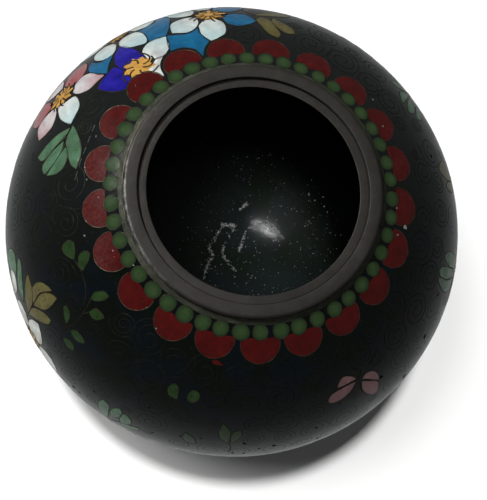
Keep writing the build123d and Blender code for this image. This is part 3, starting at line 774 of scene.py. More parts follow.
# sprays of loose leaves lower down: base, glass, and direction, length, width of each blade
side_leaves = [
    ((126.0, 84.0), "pale_leaf", [(150, 9.0, 3.4), (200, 8.6, 3.2), (245, 8.0, 3.2)]),
    ((162.0, 101.0), "olive", [(-20, 8.6, 3.2), (-60, 9.2, 3.4), (-105, 8.0, 3.2)]),
    ((196.0, 92.0), "green_leaf", [(20, 8.0, 3.0), (-25, 9.0, 3.2), (-75, 7.6, 3.0)]),
    ((178.0, 96.0), "pale_leaf", [(-70, 9.0, 3.4), (-115, 8.4, 3.2)]),
    ((222.0, 92.0), "pale_leaf", [(195, 8.4, 3.2), (235, 9.0, 3.4), (160, 7.2, 2.8)]),
    ((252.0, 95.0), "olive", [(-10, 8.0, 3.0), (-55, 9.0, 3.4), (-100, 7.6, 3.0)]),
    ((276.0, 104.0), "green_leaf", [(60, 7.0, 2.8), (110, 7.4, 2.8), (20, 6.4, 2.6)]),
    ((322.0, 90.0), "pale_leaf", [(75, 8.6, 3.4), (115, 8.8, 3.4), (35, 7.6, 3.0)]),
    ((346.0, 98.0), "olive", [(80, 8.4, 3.2), (125, 7.6, 3.0), (35, 7.6, 3.0)]),
    ((50.0, 98.0), "green_leaf", [(70, 8.0, 3.0), (110, 8.0, 3.0), (30, 7.0, 2.8)]),
    ((96.0, 96.0), "pale_leaf", [(80, 9.0, 3.4), (125, 8.4, 3.2), (40, 8.0, 3.2)]),
    ((84.0, 70.0), "olive", [(60, 7.6, 3.0), (105, 8.0, 3.2), (150, 7.0, 2.8)]),
    ((208.0, 108.0), "olive", [(70, 7.6, 3.0), (115, 7.6, 3.0)]),
]

# beyond this arc the curls are polished flush with the glass
polished_arc = 58.0
# curls that stand clear in the ground near the mouth: azimuth, arc, radius in millimetres
seen_scrolls = [
    (315.5, 46.3, 4.5), (322.3, 47.6, 2.8), (331.8, 48.8, 3.5), (62.5, 45.9, 4.0), (71.7, 44.7, 4.0),
    (83.6, 45.1, 4.6), (95.5, 45.1, 4.5), (37.0, 46.5, 3.5), (118.0, 43.0, 4.0), (176.5, 46.3, 4.5),
    (204.0, 45.0, 5.0), (216.0, 46.3, 3.5), (216.5, 54.5, 4.0), (208.0, 60.0, 4.0), (234.9, 48.9, 5.5),
    (253.0, 45.0, 3.0), (262.0, 43.5, 4.5), (272.5, 45.5, 4.0), (282.0, 45.0, 4.0), (293.0, 46.0, 4.0),
    (304.0, 44.0, 4.0),
]

# chips and pale dust on the glass: azimuth, arc, radius in millimetres
flecks = [
    (15.5, 38.8, 0.6), (11.5, 37.0, 0.25), (21.7, 35.5, 0.22), (55.5, 37.8, 0.24), (66.3, 40.7, 0.22),
    (196.0, 43.5, 0.30), (198.6, 41.2, 0.22), (203.0, 40.2, 0.2), (222.0, 42.0, 0.24), (231.0, 36.5, 0.2),
    (240.0, 33.8, 0.22), (255.0, 38.0, 0.18), (262.0, 40.5, 0.2), (187.0, 40.6, 0.2), (210.0, 37.0, 0.18),
]
# a hairline scratch on the left shoulder, as azimuth and arc
hairline = [(183.0, 42.3), (188.0, 42.2), (193.0, 42.4), (198.0, 42.9), (204.0, 43.6)]

# bubbles burst in firing: azimuth, arc, radius in millimetres, stretch along the arc
pits = [
    (342.8, 71.8, 0.55, 1.8), (335.4, 60.1, 0.55, 1.0), (316.4, 75.7, 0.40, 1.6), (315.3, 66.6, 0.28, 1.5),
    (304.8, 71.6, 0.50, 1.0), (297.2, 68.6, 0.42, 1.1), (297.9, 76.6, 0.36, 1.2), (295.2, 76.1, 0.36, 1.2),
    (286.2, 67.6, 0.24, 1.2), (281.4, 69.1, 0.30, 1.1), (274.9, 72.6, 0.26, 1.0), (271.5, 61.6, 0.30, 1.0),
    (257.8, 68.9, 0.24, 1.3), (252.8, 77.2, 0.55, 1.0), (254.7, 77.2, 0.40, 1.0), (42.4, 52.4, 0.45, 1.0),
    (3.0, 59.1, 0.40, 1.0), (352.4, 64.0, 0.62, 1.0), (322.1, 59.9, 0.24, 1.0), (301.2, 72.8, 0.40, 0.8),
    (338.0, 84.0, 0.35, 1.4), (290.0, 88.0, 0.42, 1.2), (20.0, 79.0, 0.35, 1.0), (60.0, 92.0, 0.4, 1.0),
    (110.0, 90.0, 0.4, 1.1), (204.0, 76.0, 0.36, 1.0), (216.0, 101.0, 0.4, 1.2), (96.0, 58.0, 0.3, 1.3),
]

# ---------------------------------------------------------------- marks on the inside bottom
# Unlike the lists above, these x, y points in millimetres were worked out by another program.
bottom_scratches = [
    [(-3.8, 10.5), (-3.9, 7.0), (-4.3, 2.3), (-2.2, 0.5), (-2.3, -2.4), (-1.5, -7.1)],
    [(-3.8, 10.5), (-2.0, 11.1), (-0.4, 11.7), (-0.2, 8.3), (0.1, 2.7), (3.3, 0.6), (5.8, -0.7)],
    [(3.6, 11.8), (4.2, 7.7), (4.3, 5.5)],
    [(-1.3, 17.3), (0.0, 20.0)],
]
# the bright patch beside them, a painted highlight, as its top edge and its lower edge
highlight_patch_top = [(3.9, 13.2), (6.2, 16.0), (8.0, 17.8), (11.2, 17.2), (14.9, 15.2)]
highlight_patch_foot = [(3.9, 13.2), (6.0, 13.9), (8.0, 14.6), (11.1, 14.9), (14.9, 15.2)]


# ---------------------------------------------------------------- outlines made by rule
def lobe(base, direction, inner, width, sides, tip):
    """Outline that starts in a corner and runs out to its tip; sides are shares of length and of width."""
    turn = math.radians(direction)
    length = tip[0] - inner
    right_side = [(inner + length * along, -width / 2 * wide) for along, wide in sides]
    left_side = [(x, -y) for x, y in reversed(right_side)]
    points = []
    for x, y, *corner in [(inner, 0.0, 1)] + right_side + [tip] + left_side:
        right = x * math.cos(turn) - y * math.sin(turn)
        up = x * math.sin(turn) + y * math.cos(turn)
        azimuth, arc = step_from(base[0], base[1], right, up)
        points.append((float(azimuth), float(arc), *corner))
    return smooth_loop(points)


def petal_outline(heart, direction, inner, outer, width):
    """Rounded petal from near a flower's heart outwards, its tip slightly pointed."""
    return lobe(heart, direction, inner, width, [(0.35, 0.62), (0.62, 1.0), (0.88, 0.74)], (outer, 0.0))


def blade_outline(base, direction, length, width):
    """Leaf blade that swells past its middle and ends in a point."""
    return lobe(base, direction, 0.0, width, [(0.25, 0.55), (0.55, 1.0), (0.8, 0.72)], (length, 0.0, 1))


def star_outline(heart, radius, points):
    """Ragged star of glass at a flower's heart."""
    turns = np.linspace(0, 2 * math.pi, points * 2, endpoint=False)
    reach = [radius * (chance.uniform(0.85, 1.1) if k % 2 else 0.7) for k in range(points * 2)]
    across, up = reach * np.cos(turns), reach * np.sin(turns)
    azimuth, arc = step_from(heart[0], heart[1], across, up)
    return smooth_loop(list(zip(azimuth, arc)), steps=3)


def round_outline(azimuth, arc, wide, tall, sides=28, wobble=0.0):
    """Oval outline, a little uneven if asked."""
    turns = np.linspace(0, 2 * math.pi, sides, endpoint=False)
    phase = chance.uniform(0, 6.3)
    size = 1 + wobble * np.sin(2 * turns + phase) + wobble * 0.6 * np.sin(3 * turns - phase)
    return np.stack(step_from(azimuth, arc, wide * size * np.cos(turns), tall * size * np.sin(turns)), axis=1)


def scroll_path(azimuth, arc, size, facing, hand, turns=2.1, steps=46):
    """One curl: a tail that sweeps in, an almost round turn, then a spiral tightening to its middle."""
    share = np.linspace(-0.16, 1, steps)
    tail = np.clip(-share, 0, 1)
    radius = size * (0.16 + 0.84 * (1 - np.clip(share, 0, 1) ** 1.25)) + size * 14 * tail ** 2
    angle = facing + hand * share * turns * 2 * math.pi
    return np.stack(step_from(azimuth, arc, radius * np.cos(angle), radius * np.sin(angle)), axis=1)


# ---------------------------------------------------------------- border rows
bead_count = 46
scallop_count = 21
first_bead, first_scallop = 1.7, 5.5
bead_arc = arc_at(collar_radius) + 3.1
scallop_arc = bead_arc + 3.0
scallop_wire_width = 0.00015
scallop_spots = []


def outside_scallops(outline, gap=0.12):
    """The outline pushed out of every scallop, since the scallops were laid first."""
    outline = np.array(outline, float)
    radius_mm = skin(outline[:, 1])[0] / MM
    for azimuth, size in scallop_spots:
        turned = (outline[:, 0] - azimuth + 180) % 360 - 180
        across, down = np.radians(turned) * radius_mm, outline[:, 1] - scallop_arc
        reach = np.hypot(across, down)
        stretch = np.maximum(1, (size + gap) / np.maximum(reach, 0.01))
        outline[:, 0] += np.degrees(across * (stretch - 1) / radius_mm)
        outline[:, 1] += down * (stretch - 1)
    return outline


def scallop_azimuth(i):
    """The scallops were set out by eye, so they drift along the row."""
    even = first_scallop + 360.0 / scallop_count * i
    drift = 3.1 * math.sin(math.radians((even - 45) / 2)) ** 2
    return even + drift + chance.uniform(-0.35, 0.35)


def border():
    glass, fences = Pile(), Pile()
    for i in range(bead_count):
        azimuth = first_bead + 360.0 / bead_count * i + chance.uniform(-0.3, 0.3)
        wide = 1.84 + chance.uniform(-0.10, 0.10)
        tall = 1.92 + chance.uniform(-0.10, 0.08)
        outline = round_outline(azimuth, bead_arc + chance.uniform(-0.08, 0.08), wide, tall, wobble=0.03)
        cell(glass, outline, lift=0.00004, crown=0.00001, heart=(azimuth, bead_arc), reach_mm=2.0)
        wire(fences, grown(outline, 0.06), width=0.00017, lift=0.00005)
    glass.build("bead_enamel_cells", paints["bead"], "green_bead", ("bead_enamels",))
    fences.build("bead_wire_rings", paints["dull_wire"], "gilt_wire", ("bead_wires",))

    glass, fences = Pile(), Pile()
    for i in range(scallop_count):
        azimuth = scallop_azimuth(i)
        size = 4.45 + chance.uniform(-0.12, 0.15)
        scallop_spots.append((azimuth, size))
        lay_scallop(glass, fences, azimuth, scallop_arc, size)
    cell(glass, round_outline(285.0, 42.3, 1.3, 0.5, wobble=0.16))
    glass.build("scallop_enamel_cells", paints["red"], "red_scallop", ("scallop_enamels",))
    fences.build("scallop_wire_arcs", paints["gilt"], "gilt_wire", ("scallop_wires",))


def round_lobe(azimuth, arc, size, overlap, facing):
    """Arc of a circle that goes this many degrees past a half turn at both ends."""
    turns = np.radians(np.linspace(-overlap, 180 + overlap, 40))
    x, y = size * np.cos(turns), -size * np.sin(turns)
    return np.stack(step_from(azimuth, arc, x, -facing * y), axis=1)


def lay_scallop(glass, fences, azimuth, arc, size, facing=-1):
    """Lobe of glass that faces away from the row above it (-1) or below it (1), and its wire."""
    cell(glass, round_lobe(azimuth, arc, size, 22, facing), lift=0.00002, crown=0.00002)
    edge = round_lobe(azimuth, arc, size + 0.05, 16, facing)
    wire(fences, edge, width=scallop_wire_width, lift=0.00005, closed=False)


def foot_border():
    """Row of red lobes above the foot, pointing up."""
    glass, fences = Pile(), Pile()
    count = 22
    arc = whole_arc_mm - arc_at(foot_radius) - 1.2
    for i in range(count):
        azimuth = 360.0 / count * i + chance.uniform(-0.4, 0.4)
        lay_scallop(glass, fences, azimuth, arc, 4.0, facing=1)
    glass.build("foot_scallop_cells", paints["red"], "red_scallop", ("foot_scallop_enamels",))
    fences.build("foot_scallop_wire_arcs", paints["gilt"], "gilt_wire", ("foot_scallop_wires",))


# ---------------------------------------------------------------- flowers, leaves, butterfly
slots = {
    "white": "white_glass", "sky": "sky_glass", "cobalt": "cobalt_glass", "blush": "blush_glass",
    "rose": "rose_glass", "yellow": "yellow_glass", "pale_leaf": "pale_green_glass",
    "green_leaf": "leaf_green_glass", "olive": "olive_glass", "wing": "rose_glass",
}
replaced_nodes = {
    "white": "white_petal_enamels", "sky": "sky_petal_enamels", "cobalt": "cobalt_petal_enamels",
    "blush": "blush_petal_enamels", "rose": "rose_petal_enamels", "yellow": "stamen_disc_enamels",
    "pale_leaf": "pale_leaf_enamels", "green_leaf": "green_leaf_enamels", "olive": "olive_leaf_enamels",
    "wing": "butterfly_wing_enamels",
}
taken = []


def keep_clear(outline):
    """Remembers a cell so that no scroll is laid over it."""
    taken.append(outline[::2])


def fenced_cell(glass, fence, outline, width=wire_width, heart=None):
    """A cell, its wire and the note that keeps scrolls off it."""
    cell(glass, outline, heart=heart)
    wire(fence, outline, width=width)
    keep_clear(outline)


def stamens(pile, heart, radius, count, curl=0.8):
    """Fine wires that fan out of a flower's heart, each with a curled end."""
    for i in range(count):
        turn = 2 * math.pi * (i + chance.uniform(-0.2, 0.2)) / count
        reach = radius * chance.uniform(0.85, 1.1)
        spots = []
        for along in np.linspace(0.25, 1.0, 12):
            bend = turn + curl * along ** 4
            x, y = reach * along * math.cos(bend), reach * along * math.sin(bend)
            azimuth, arc = step_from(heart[0], heart[1], x, y)
            spots.append((float(azimuth), float(arc)))
        wire(pile, outside_scallops(spots), width=0.00044, lift=0.00014, closed=False)


def decoration():
    glass = {name: Pile() for name in replaced_nodes}
    petal_fence, leaf_fence, heart_fence, wing_fence = Pile(), Pile(), Pile(), Pile()

    for i, (paint, heart, points) in enumerate(spray_cells):
        outline = outside_scallops(grown(smooth_loop(points), 0.30))
        cell(glass[paint], outline, lift=0.00002 + 0.0000015 * i, heart=hearts.get(heart))
        wire(petal_fence, grown(outline, -0.08))
        keep_clear(outline)
    for name, heart in hearts.items():
        outline = outside_scallops(star_outline(heart, heart_sizes[name], 9))
        cell(glass["yellow"], outline, lift=0.00007)
        keep_clear(outline)
        stamens(heart_fence, heart, heart_sizes[name] * 1.2, heart_wires[name], heart_curls[name])

    for heart, radius, first, paint, kept in side_flowers:
        for i in kept:
            outline = petal_outline(heart, first + 72 * i, radius * 0.16, radius, radius * 0.84)
            fenced_cell(glass[paint], petal_fence, outline, heart=heart)
        outline = star_outline(heart, radius * 0.38, 8)
        cell(glass["yellow"], outline, lift=0.00007)
        stamens(heart_fence, heart, radius * 0.44, 8)

    for paint, outlines in leaf_cells.items():
        for points in outlines:
            fenced_cell(glass[paint], leaf_fence, grown(smooth_loop(points), 0.12), leaf_wire_width)
    for base, paint, blades in side_leaves:
        for direction, length, width in blades:
            outline = blade_outline(base, direction, length, width)
            fenced_cell(glass[paint], leaf_fence, outline, leaf_wire_width)

    for points in butterfly_cells:
        fenced_cell(glass["wing"], wing_fence, grown(smooth_loop(points), 0.15))

    for name, pile in glass.items():
        pile.build(name + "_cells", paints[name], slots[name], (replaced_nodes[name],))
    for pile, name, replaced in (
        (petal_fence, "petal_wire_fences", "petal_wires"),
        (leaf_fence, "leaf_wire_fences", "leaf_wires"),
        (heart_fence, "heart_and_stamen_wires", "stamen_disc_wires"),
        (wing_fence, "butterfly_wire_fences", "butterfly_wires"),
    ):
        pile.build(name, paints["dull_wire"], "gilt_wire", (replaced,))

    stems = Pile()
    for points in stem_paths:
        wire(stems, smooth_loop(points, closed=False), width=0.00024, closed=False)
    stems.build("stem_and_vein_wires", paints["dull_wire"], "gilt_wire")


def clear_of_cells(azimuth, arc, reach):
    """True where a curl of this reach would touch no flower, leaf or wing."""
    radius_mm = float(skin(arc)[0]) / MM
    for outline in taken:
        across = (outline[:, 0] - azimuth + 180) % 360 - 180
        gap = np.hypot(np.radians(across) * radius_mm, outline[:, 1] - arc)
        if gap.min() < reach:
            return False
        if abs(across).max() < 25 and inside(outline, azimuth, arc):
            return False
    return True


def inside(outline, azimuth, arc):
    """Even-odd test in azimuth and arc."""
    x, y = (outline[:, 0] - azimuth + 180) % 360 - 180, outline[:, 1] - arc
    crossings = 0
    for i in range(len(x)):
        j = (i + 1) % len(x)
        if (y[i] > 0) != (y[j] > 0) and x[i] + (x[j] - x[i]) * (-y[i]) / (y[j] - y[i]) > 0:
            crossings += 1
    return crossings % 2 == 1


def scrolls():
    """Curls that fill the whole ground: the clear ones by the mouth first, then staggered rows."""
    upper, lower = Pile(), Pile()
    for azimuth, arc, size in seen_scrolls:
        if clear_of_cells(azimuth, arc, size * 0.75):
            curl(upper, azimuth, arc, size)
    size = 3.9
    row_step = 7.0
    first_row = scallop_arc + 4.45 + size * 0.92
    last_row = whole_arc_mm - first_row + 1.0
    rows = int((last_row - first_row) / row_step) + 1
    for row in range(rows):
        arc = first_row + row * (last_row - first_row) / (rows - 1)
        around = int(2 * math.pi * float(skin(arc)[0]) / MM / (2 * size + 0.2))
        for i in range(around):
            azimuth = 360.0 * (i + 0.5 * (row % 2)) / around + chance.uniform(-1.0, 1.0)
            spot_arc = arc + chance.uniform(-0.5, 0.5)
            for scale in (chance.uniform(0.9, 1.12), 0.7, 0.5, 0.34):
                if clear_of_cells(azimuth, spot_arc, size * scale + 0.2):
                    curl(upper if spot_arc < equator_arc / MM else lower, azimuth, spot_arc, size * scale)
                    break
    upper.build("upper_scroll_wires", paints["scroll"], "gilt_wire")
    lower.build("lower_scroll_wires", paints["scroll"], "gilt_wire")


def curl(pile, azimuth, arc, size):
    """Lays one curl, facing and turning at random, and keeps later ones off its middle."""
    facing, hand = chance.uniform(0, 2 * math.pi), chance.choice((-1, 1))
    lift = 0.000035 if arc < polished_arc else 0.000004
    wire(pile, scroll_path(azimuth, arc, size, facing, hand), width=0.0002, lift=lift, closed=False)
    keep_clear(round_outline(azimuth, arc, size * 0.8, size * 0.8))


def pit_marks():
    """Burst bubbles, drawn as flat dark matt discs with a broken edge; their darkness is painted shade of the
    hollow.
    """
    holes = Pile()
    for azimuth, arc, radius, stretch in pits:
        outline = round_outline(azimuth, arc, radius, radius * stretch, sides=16, wobble=0.16)
        cell(holes, outline, lift=0.00003, crown=0.0)
    paint = Paint("pit_black")
    # The pits' near-black is painted shade standing for each hollow.
    hollow_shade, hollow_shade_pale = (0.0012, 0.0011, 0.001), (0.006, 0.005, 0.004)
    paint.set("Base Color", paint.blend(paint.noise(0.4, 3.0), hollow_shade, hollow_shade_pale))
    paint.set("Roughness", 0.9)
    paint.set("Specular IOR Level", 0.05)
    paint.bump(paint.noise(0.2, 3.0), 0.05)
    holes.build("burst_bubble_pits", paint.material, "black_ground")


def wear_marks():
    """Pale chips on the shoulder and one hairline scratch."""
    marks = Pile()
    for azimuth, arc, radius in flecks:
        cell(marks, round_outline(azimuth, arc, radius, radius * 0.7, sides=14, wobble=0.25), lift=0.00006,
             crown=0.0)
    line = smooth_loop(hairline, closed=False)
    for start in range(0, len(line), 5):
        wire(marks, line[start:start + 4], width=0.00007, lift=0.00003, closed=False)
    marks.build("chips_and_scratch", paints["dust"], "black_ground")


# ---------------------------------------------------------------- body skins and mountings
def ground_skin():
    """The dark ground glass, a thin shell between the two edging wires."""
    top = arc_at(collar_radius + 0.0006)
    bottom = whole_arc_mm - arc_at(foot_radius + 0.0006)
    arcs = np.linspace(top, bottom, 150)
    sides = 288
    turns = np.linspace(0, 360, sides, endpoint=False)
    outer = np.stack([place(turn, arcs) for turn in turns])
    inner_radius, inner_height, _ = skin(arcs, enamel_thickness)
    pile = Pile()
    points = []
    for i, turn in enumerate(np.radians(turns)):
        points.append(outer[i])
        points.append(np.stack([
            inner_radius * math.cos(turn), inner_radius * math.sin(turn), inner_height
        ], axis=1)[::-1])
    pile.add(np.concatenate(points), ring_faces(sides, 2 * len(arcs)))
    pile.build("ground_glass_skin", paints["ground"], "black_ground", ("ground_enamel",))


def bottom_height(radius, lift=0.0):
    """Height of the lining's face at the bottom of the jar, where the round base meets the wall."""
    rim = float(skin(whole_arc_mm - arc_at(foot_radius), enamel_thickness)[1]) + copper_thickness
    sag = rim - lining_low
    base = lining_low + lift + sag * (radius / foot_radius) ** 2
    reach = cap_arc_radius - lining_depth - lift
    wall = equator_height + cap_drop - np.sqrt(reach ** 2 - radius ** 2)
    softness = 0.0008
    return softness * np.logaddexp(base / softness, wall / softness)


def lining_skin():
    """Counter glass inside: the wall, then the shallow round bottom that it runs into."""
    top = arc_at(hole_radius)
    foot_of_wall = whole_arc_mm - arc_at(0.040)
    arcs = np.linspace(top, foot_of_wall, 100)
    bottom_radii = np.linspace(0.040, 0.0, 70)[1:]
    faces = []
    for lift in (0.0, lining_thickness):
        wall = np.stack(skin(arcs, lining_depth + lift)[:2], axis=1)
        bottom = np.stack([bottom_radii, bottom_height(bottom_radii, lift)], axis=1)
        faces.append(np.concatenate([wall, bottom]))
    pile = Pile()
    lathe(pile, np.concatenate([faces[0], faces[1][::-1]]), 240)
    pile.build("lining_glass_skin", paints["lining"], "black_lining", ("interior_enamel",))


def bottom_point(x_mm, y_mm, lift=0.00002):
    """A point on the inside bottom of the jar."""
    x, y = x_mm * MM, y_mm * MM
    height = float(bottom_height(np.array([math.hypot(x, y)]), lining_thickness)[0])
    return np.array([x, y, height + lift])


def chalky_marks():
    """Grainy pale scratches and specks that old cleaning has left on the inside bottom, and a painted
    highlight of bright crumbs.
    """
    marks, patch = Pile(), Pile()
    for path in bottom_scratches:
        line = smooth_loop(path, steps=10, closed=False)
        for x, y in line:
            for _ in range(chance.choice((0, 3, 6, 9))):
                spread = chance.gauss(0, 0.30), chance.gauss(0, 0.30)
                grain(marks, x + spread[0], y + spread[1], chance.uniform(0.05, 0.17))
    top, foot = smooth_loop(highlight_patch_top, closed=False), smooth_loop(highlight_patch_foot, closed=False)
    # The painted highlight: bright crumbs filling the patch between its two edges.
    for (top_x, top_y), (foot_x, foot_y) in zip(top, foot):
        for _ in range(17):
            share = chance.random() ** 0.8
            x = foot_x + (top_x - foot_x) * share + chance.gauss(0, 0.12)
            grain(patch, x, foot_y + (top_y - foot_y) * share, chance.uniform(0.08, 0.2))
    for _ in range(800):
        turn, reach = chance.uniform(0, 2 * math.pi), 30 * math.sqrt(chance.random())
        x, y = 12 + reach * math.cos(turn), 12 + reach * math.sin(turn)
        if math.hypot(x, y) < 38:
            grain(marks, x, y, 0.05 + 0.13 * chance.random() ** 3)
    marks.build("chalky_bottom_marks", paints["chalk"], "black_lining")
    patch.build("painted_highlight_patch", paints["highlight_crumbs"], "black_lining")


def grain(pile, x_mm, y_mm, radius_mm):
    """One crumb: a low, uneven six-sided cap with a closed underside."""
    sides = 6
    ring = []
    for k in range(sides):
        turn = 2 * math.pi * k / sides
        size = radius_mm * chance.uniform(0.6, 1.3)
        ring.append(bottom_point(x_mm + size * math.cos(turn), y_mm + size * math.sin(turn)))
    top = bottom_point(x_mm, y_mm, 0.00002 + 0.5 * radius_mm * MM)
    under = bottom_point(x_mm, y_mm, -0.00005)
    faces = [(k, (k + 1) % sides, sides) for k in range(sides)]
    faces += [((k + 1) % sides, k, sides + 1) for k in range(sides)]
    pile.add(ring + [top, under], faces)


def turned_ring(name, corners, fillets, replaced):
    """Brass ring turned from a section whose corners are rounded by the fillets."""
    ring = Pile()
    lathe(ring, rounded_section(corners, fillets), ring_sides)
    ring.build(name, paints["brass"], "aged_brass", (replaced,))


def round_wire(name, paint, slot, arc, width, lift, replaced=()):
    """Wire that runs once round the jar, with an arc for each of its points."""
    pile = Pile()
    turns = np.linspace(0, 360, np.size(arc), endpoint=False)
    wire(pile, np.stack([turns, arc], axis=1), width=width, lift=lift)
    pile.build(name, paints[paint], slot, replaced)


def mountings():
    """Collar, ledge ring and foot, with softly worn edges."""
    foot_of_collar = float(skin(arc_at(collar_radius), enamel_thickness)[1])
    foot_of_hole = float(skin(arc_at(hole_radius), enamel_thickness)[1])
    turned_ring("mouth_collar_ring", [
        (collar_radius, foot_of_collar), (collar_radius, collar_high.z), (ledge_radius, collar_high.z),
        (ledge_radius, collar_low.z), (hole_radius, collar_low.z), (hole_radius, foot_of_hole),
    ], [0, 0.0008, 0.00025, 0, 0, 0], "mouth_collar")

    groove = 0.00012
    step_radius, step_height = ledge_radius - groove, ledge_high.z - groove
    undercut = min(0.6 * (ledge_high.z - ledge_low.z), 0.8 * (ledge_radius - mouth_radius))
    turned_ring("lid_ledge", [
        (ledge_radius, ledge_low.z), (ledge_radius, step_height), (step_radius, step_height),
        (step_radius, ledge_high.z), (mouth_radius, ledge_high.z), (mouth_radius + undercut, ledge_low.z),
    ], [0, 0, 0, 0.00008, 0.0003, 0], "lid_ledge_ring")

    foot_inner = foot_radius - 0.0026
    turned_ring("foot_ring_turned", [
        (foot_radius, foot_high.z), (foot_radius - 0.0003, 0.0028), (foot_radius, 0.0),
        (foot_inner, 0.0), (foot_inner, foot_high.z - 0.0007),
    ], [0, 0.0006, 0.0005, 0.0005, 0], "foot_ring")


def edging_wires():
    """The grimy solder line beside the collar, and the plain wires that close the ground glass."""
    collar_arc = arc_at(collar_radius)
    foot_arc = whole_arc_mm - arc_at(foot_radius)
    turns = np.radians(np.linspace(0, 360, 360, endpoint=False))
    wander = 0.05 * np.sin(turns * 5) + 0.05 * np.sin(turns * 13 + 1)
    round_wire("grimy_solder_line", "grime", "aged_brass", collar_arc + 0.75 + wander, 0.0012, 0.00004)
    round_wire("collar_edging_wire", "gilt", "gilt_wire", np.full(360, collar_arc + 0.14), 0.00022, 0.00016,
               ("collar_wire",))
    round_wire("foot_edging_wire", "gilt", "gilt_wire", np.full(300, foot_arc - 0.3), 0.0004, 0.00012,
               ("foot_wire",))


def carried_nodes():
    """Better finishes for the CAD pieces that stay in view."""
    for node, paint in (("copper_bowl", "copper"), ("copper_shoulder", "copper"), ("base_enamel", "lining")):
        piece = frame["nodes"][node]
        for slot in piece.material_slots:
            slot.material = paints[paint]


# ---------------------------------------------------------------- studio
def floor_and_light():
    """Plain pale floor and horizon; a soft window from the left, a small lamp and a soft light overhead."""
    bpy.ops.mesh.primitive_plane_add(size=40.0, location=(0, 0, 0))
    floor = bpy.context.object
    floor.name = "studio_floor"
    paint = Paint("pale_floor")
    paint.set("Base Color", paint.blend(paint.noise(40.0, 2.0), (0.88, 0.88, 0.87), (0.92, 0.92, 0.915)))
    paint.set("Roughness", 0.7)
    floor.data.materials.append(paint.material)
    floor.visible_glossy = False

    backdrop()

    world = bpy.data.worlds.new("studio")
    bpy.context.scene.world = world
    world.use_nodes = True
    nodes, links = world.node_tree.nodes, world.node_tree.links
    where = nodes.new("ShaderNodeTexCoord")
    split = nodes.new("ShaderNodeSeparateXYZ")
    links.new(where.outputs["Generated"], split.inputs[0])
    share = nodes.new("ShaderNodeMapRange")
    share.inputs["From Min"].default_value = -1.0
    links.new(split.outputs["Z"], share.inputs["Value"])
    ramp = nodes.new("ShaderNodeValToRGB")
    shades = [(0.0, 0.40), (0.15, 0.24), (0.33, 0.13), (0.5, 0.09), (0.7, 0.065), (1.0, 0.05)]
    for i, (position, grey) in enumerate(shades):
        last = ramp.color_ramp.elements
        stop = last[i] if i < 2 else last.new(position)
        stop.position = position
        stop.color = (grey * 0.98, grey, grey, 1)
    links.new(share.outputs[0], ramp.inputs[0])
    links.new(ramp.outputs[0], nodes["Background"].inputs["Color"])

    off_floor = bpy.data.collections.new("all_but_the_floor")
    off_floor.objects.link(floor)
    off_floor.collection_objects[0].light_linking.link_state = "EXCLUDE"
    add_light("window", off_floor, azimuth=172, elevation=50, wide=0.26, tall=0.26, power=8.2)
    add_light("ceiling_lamp", off_floor, azimuth=174, elevation=83, wide=0.12, tall=0.03, power=0.20)
    overhead = add_light("overhead", off_floor, azimuth=215, elevation=73, wide=0.3, tall=0.3, power=3.1)
    overhead.visible_glossy = False

    on_floor = bpy.data.collections.new("only_the_floor")
    on_floor.objects.link(floor)
    floor_light("floor_main", on_floor, tilt=11.8, towards=335, softness=5, energy=2.7)
    floor_light("floor_fill", on_floor, tilt=26, towards=5, softness=17, energy=1.1)


def backdrop():
    """Pale wall far behind the jar, on the floor, for the camera only: it neither lights nor shades."""
    bpy.ops.mesh.primitive_cylinder_add(radius=19.0, depth=16.0, location=(0, 0, 7.5), vertices=96,
                                        end_fill_type="NOTHING")
    wall = bpy.context.object
    wall.name = "studio_backdrop"
    paint = Paint("pale_backdrop")
    paint.set("Base Color", (0.0, 0.0, 0.0))
    paint.set("Emission Color", (0.93, 0.93, 0.92))
    paint.set("Emission Strength", 1.0)
    wall.data.materials.append(paint.material)
    wall.visible_diffuse = False
    wall.visible_glossy = False
    wall.visible_shadow = False


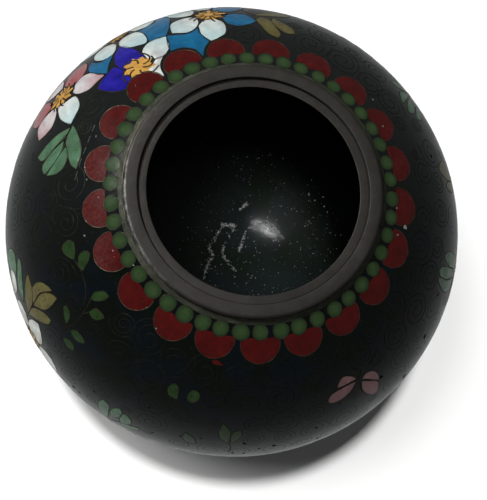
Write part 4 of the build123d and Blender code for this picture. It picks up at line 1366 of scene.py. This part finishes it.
def floor_light(name, receivers, tilt, towards, softness, energy):
    """Distant light on the floor alone, so that it stays pale under a dim ceiling; angles in degrees."""
    data = bpy.data.lights.new(name, "SUN")
    data.energy = energy
    data.angle = math.radians(softness)
    light = bpy.data.objects.new(name, data)
    bpy.context.scene.collection.objects.link(light)
    light.rotation_euler = (0, -math.radians(tilt), math.radians(towards))
    light.light_linking.receiver_collection = receivers


def add_light(name, receivers, azimuth, elevation, wide, tall, power):
    """Oval area light that looks at the jar from a metre away, its long side along X."""
    data = bpy.data.lights.new(name, "AREA")
    data.shape = "ELLIPSE"
    data.size = wide
    data.size_y = tall
    data.energy = power
    light = bpy.data.objects.new(name, data)
    bpy.context.scene.collection.objects.link(light)
    turn, rise = math.radians(azimuth), math.radians(elevation)
    away = Vector((math.cos(rise) * math.cos(turn), math.cos(rise) * math.sin(turn), math.sin(rise)))
    up = away.cross(Vector((1, 0, 0))).normalized()
    side = up.cross(away)
    aimed = Matrix((side, up, away)).transposed().to_4x4()
    light.matrix_world = Matrix.Translation(Vector((0, 0, equator_height)) + away) @ aimed
    light.light_linking.receiver_collection = receivers
    return light


def camera():
    """Looks steeply down at the mouth from the -Y side, turned about its own axis."""
    lean = 0.2569                      # from straight above, radians
    roll = 0.4746
    distance = 4.5 * belly_radius
    centre = Vector((0, 0, equator_height))
    spot = centre + Vector((0, -math.sin(lean), math.cos(lean))) * distance
    forward = (centre - spot).normalized()
    right = Vector((1, 0, 0))
    up = right.cross(forward)
    turned_right = math.cos(roll) * right + math.sin(roll) * up
    turned_up = -math.sin(roll) * right + math.cos(roll) * up
    aim = centre + (0.0427 * turned_right - 0.0927 * turned_up) * belly_radius
    forward = (aim - spot).normalized()
    side = (turned_right - forward * turned_right.dot(forward)).normalized()
    top = side.cross(forward)
    data = bpy.data.cameras.new("camera")
    data.lens = 72.15
    data.sensor_width = 36.0
    data.clip_start = 0.01
    seen = bpy.data.objects.new("camera", data)
    bpy.context.scene.collection.objects.link(seen)
    turn = Matrix((side, top, -forward)).transposed().to_4x4()
    seen.matrix_world = Matrix.Translation(spot) @ turn
    bpy.context.scene.camera = seen


bpy.context.scene.view_settings.view_transform = "Standard"
camera()
floor_and_light()
ground_skin()
lining_skin()
mountings()
edging_wires()
border()
foot_border()
decoration()
scrolls()
pit_marks()
wear_marks()
chalky_marks()
carried_nodes()
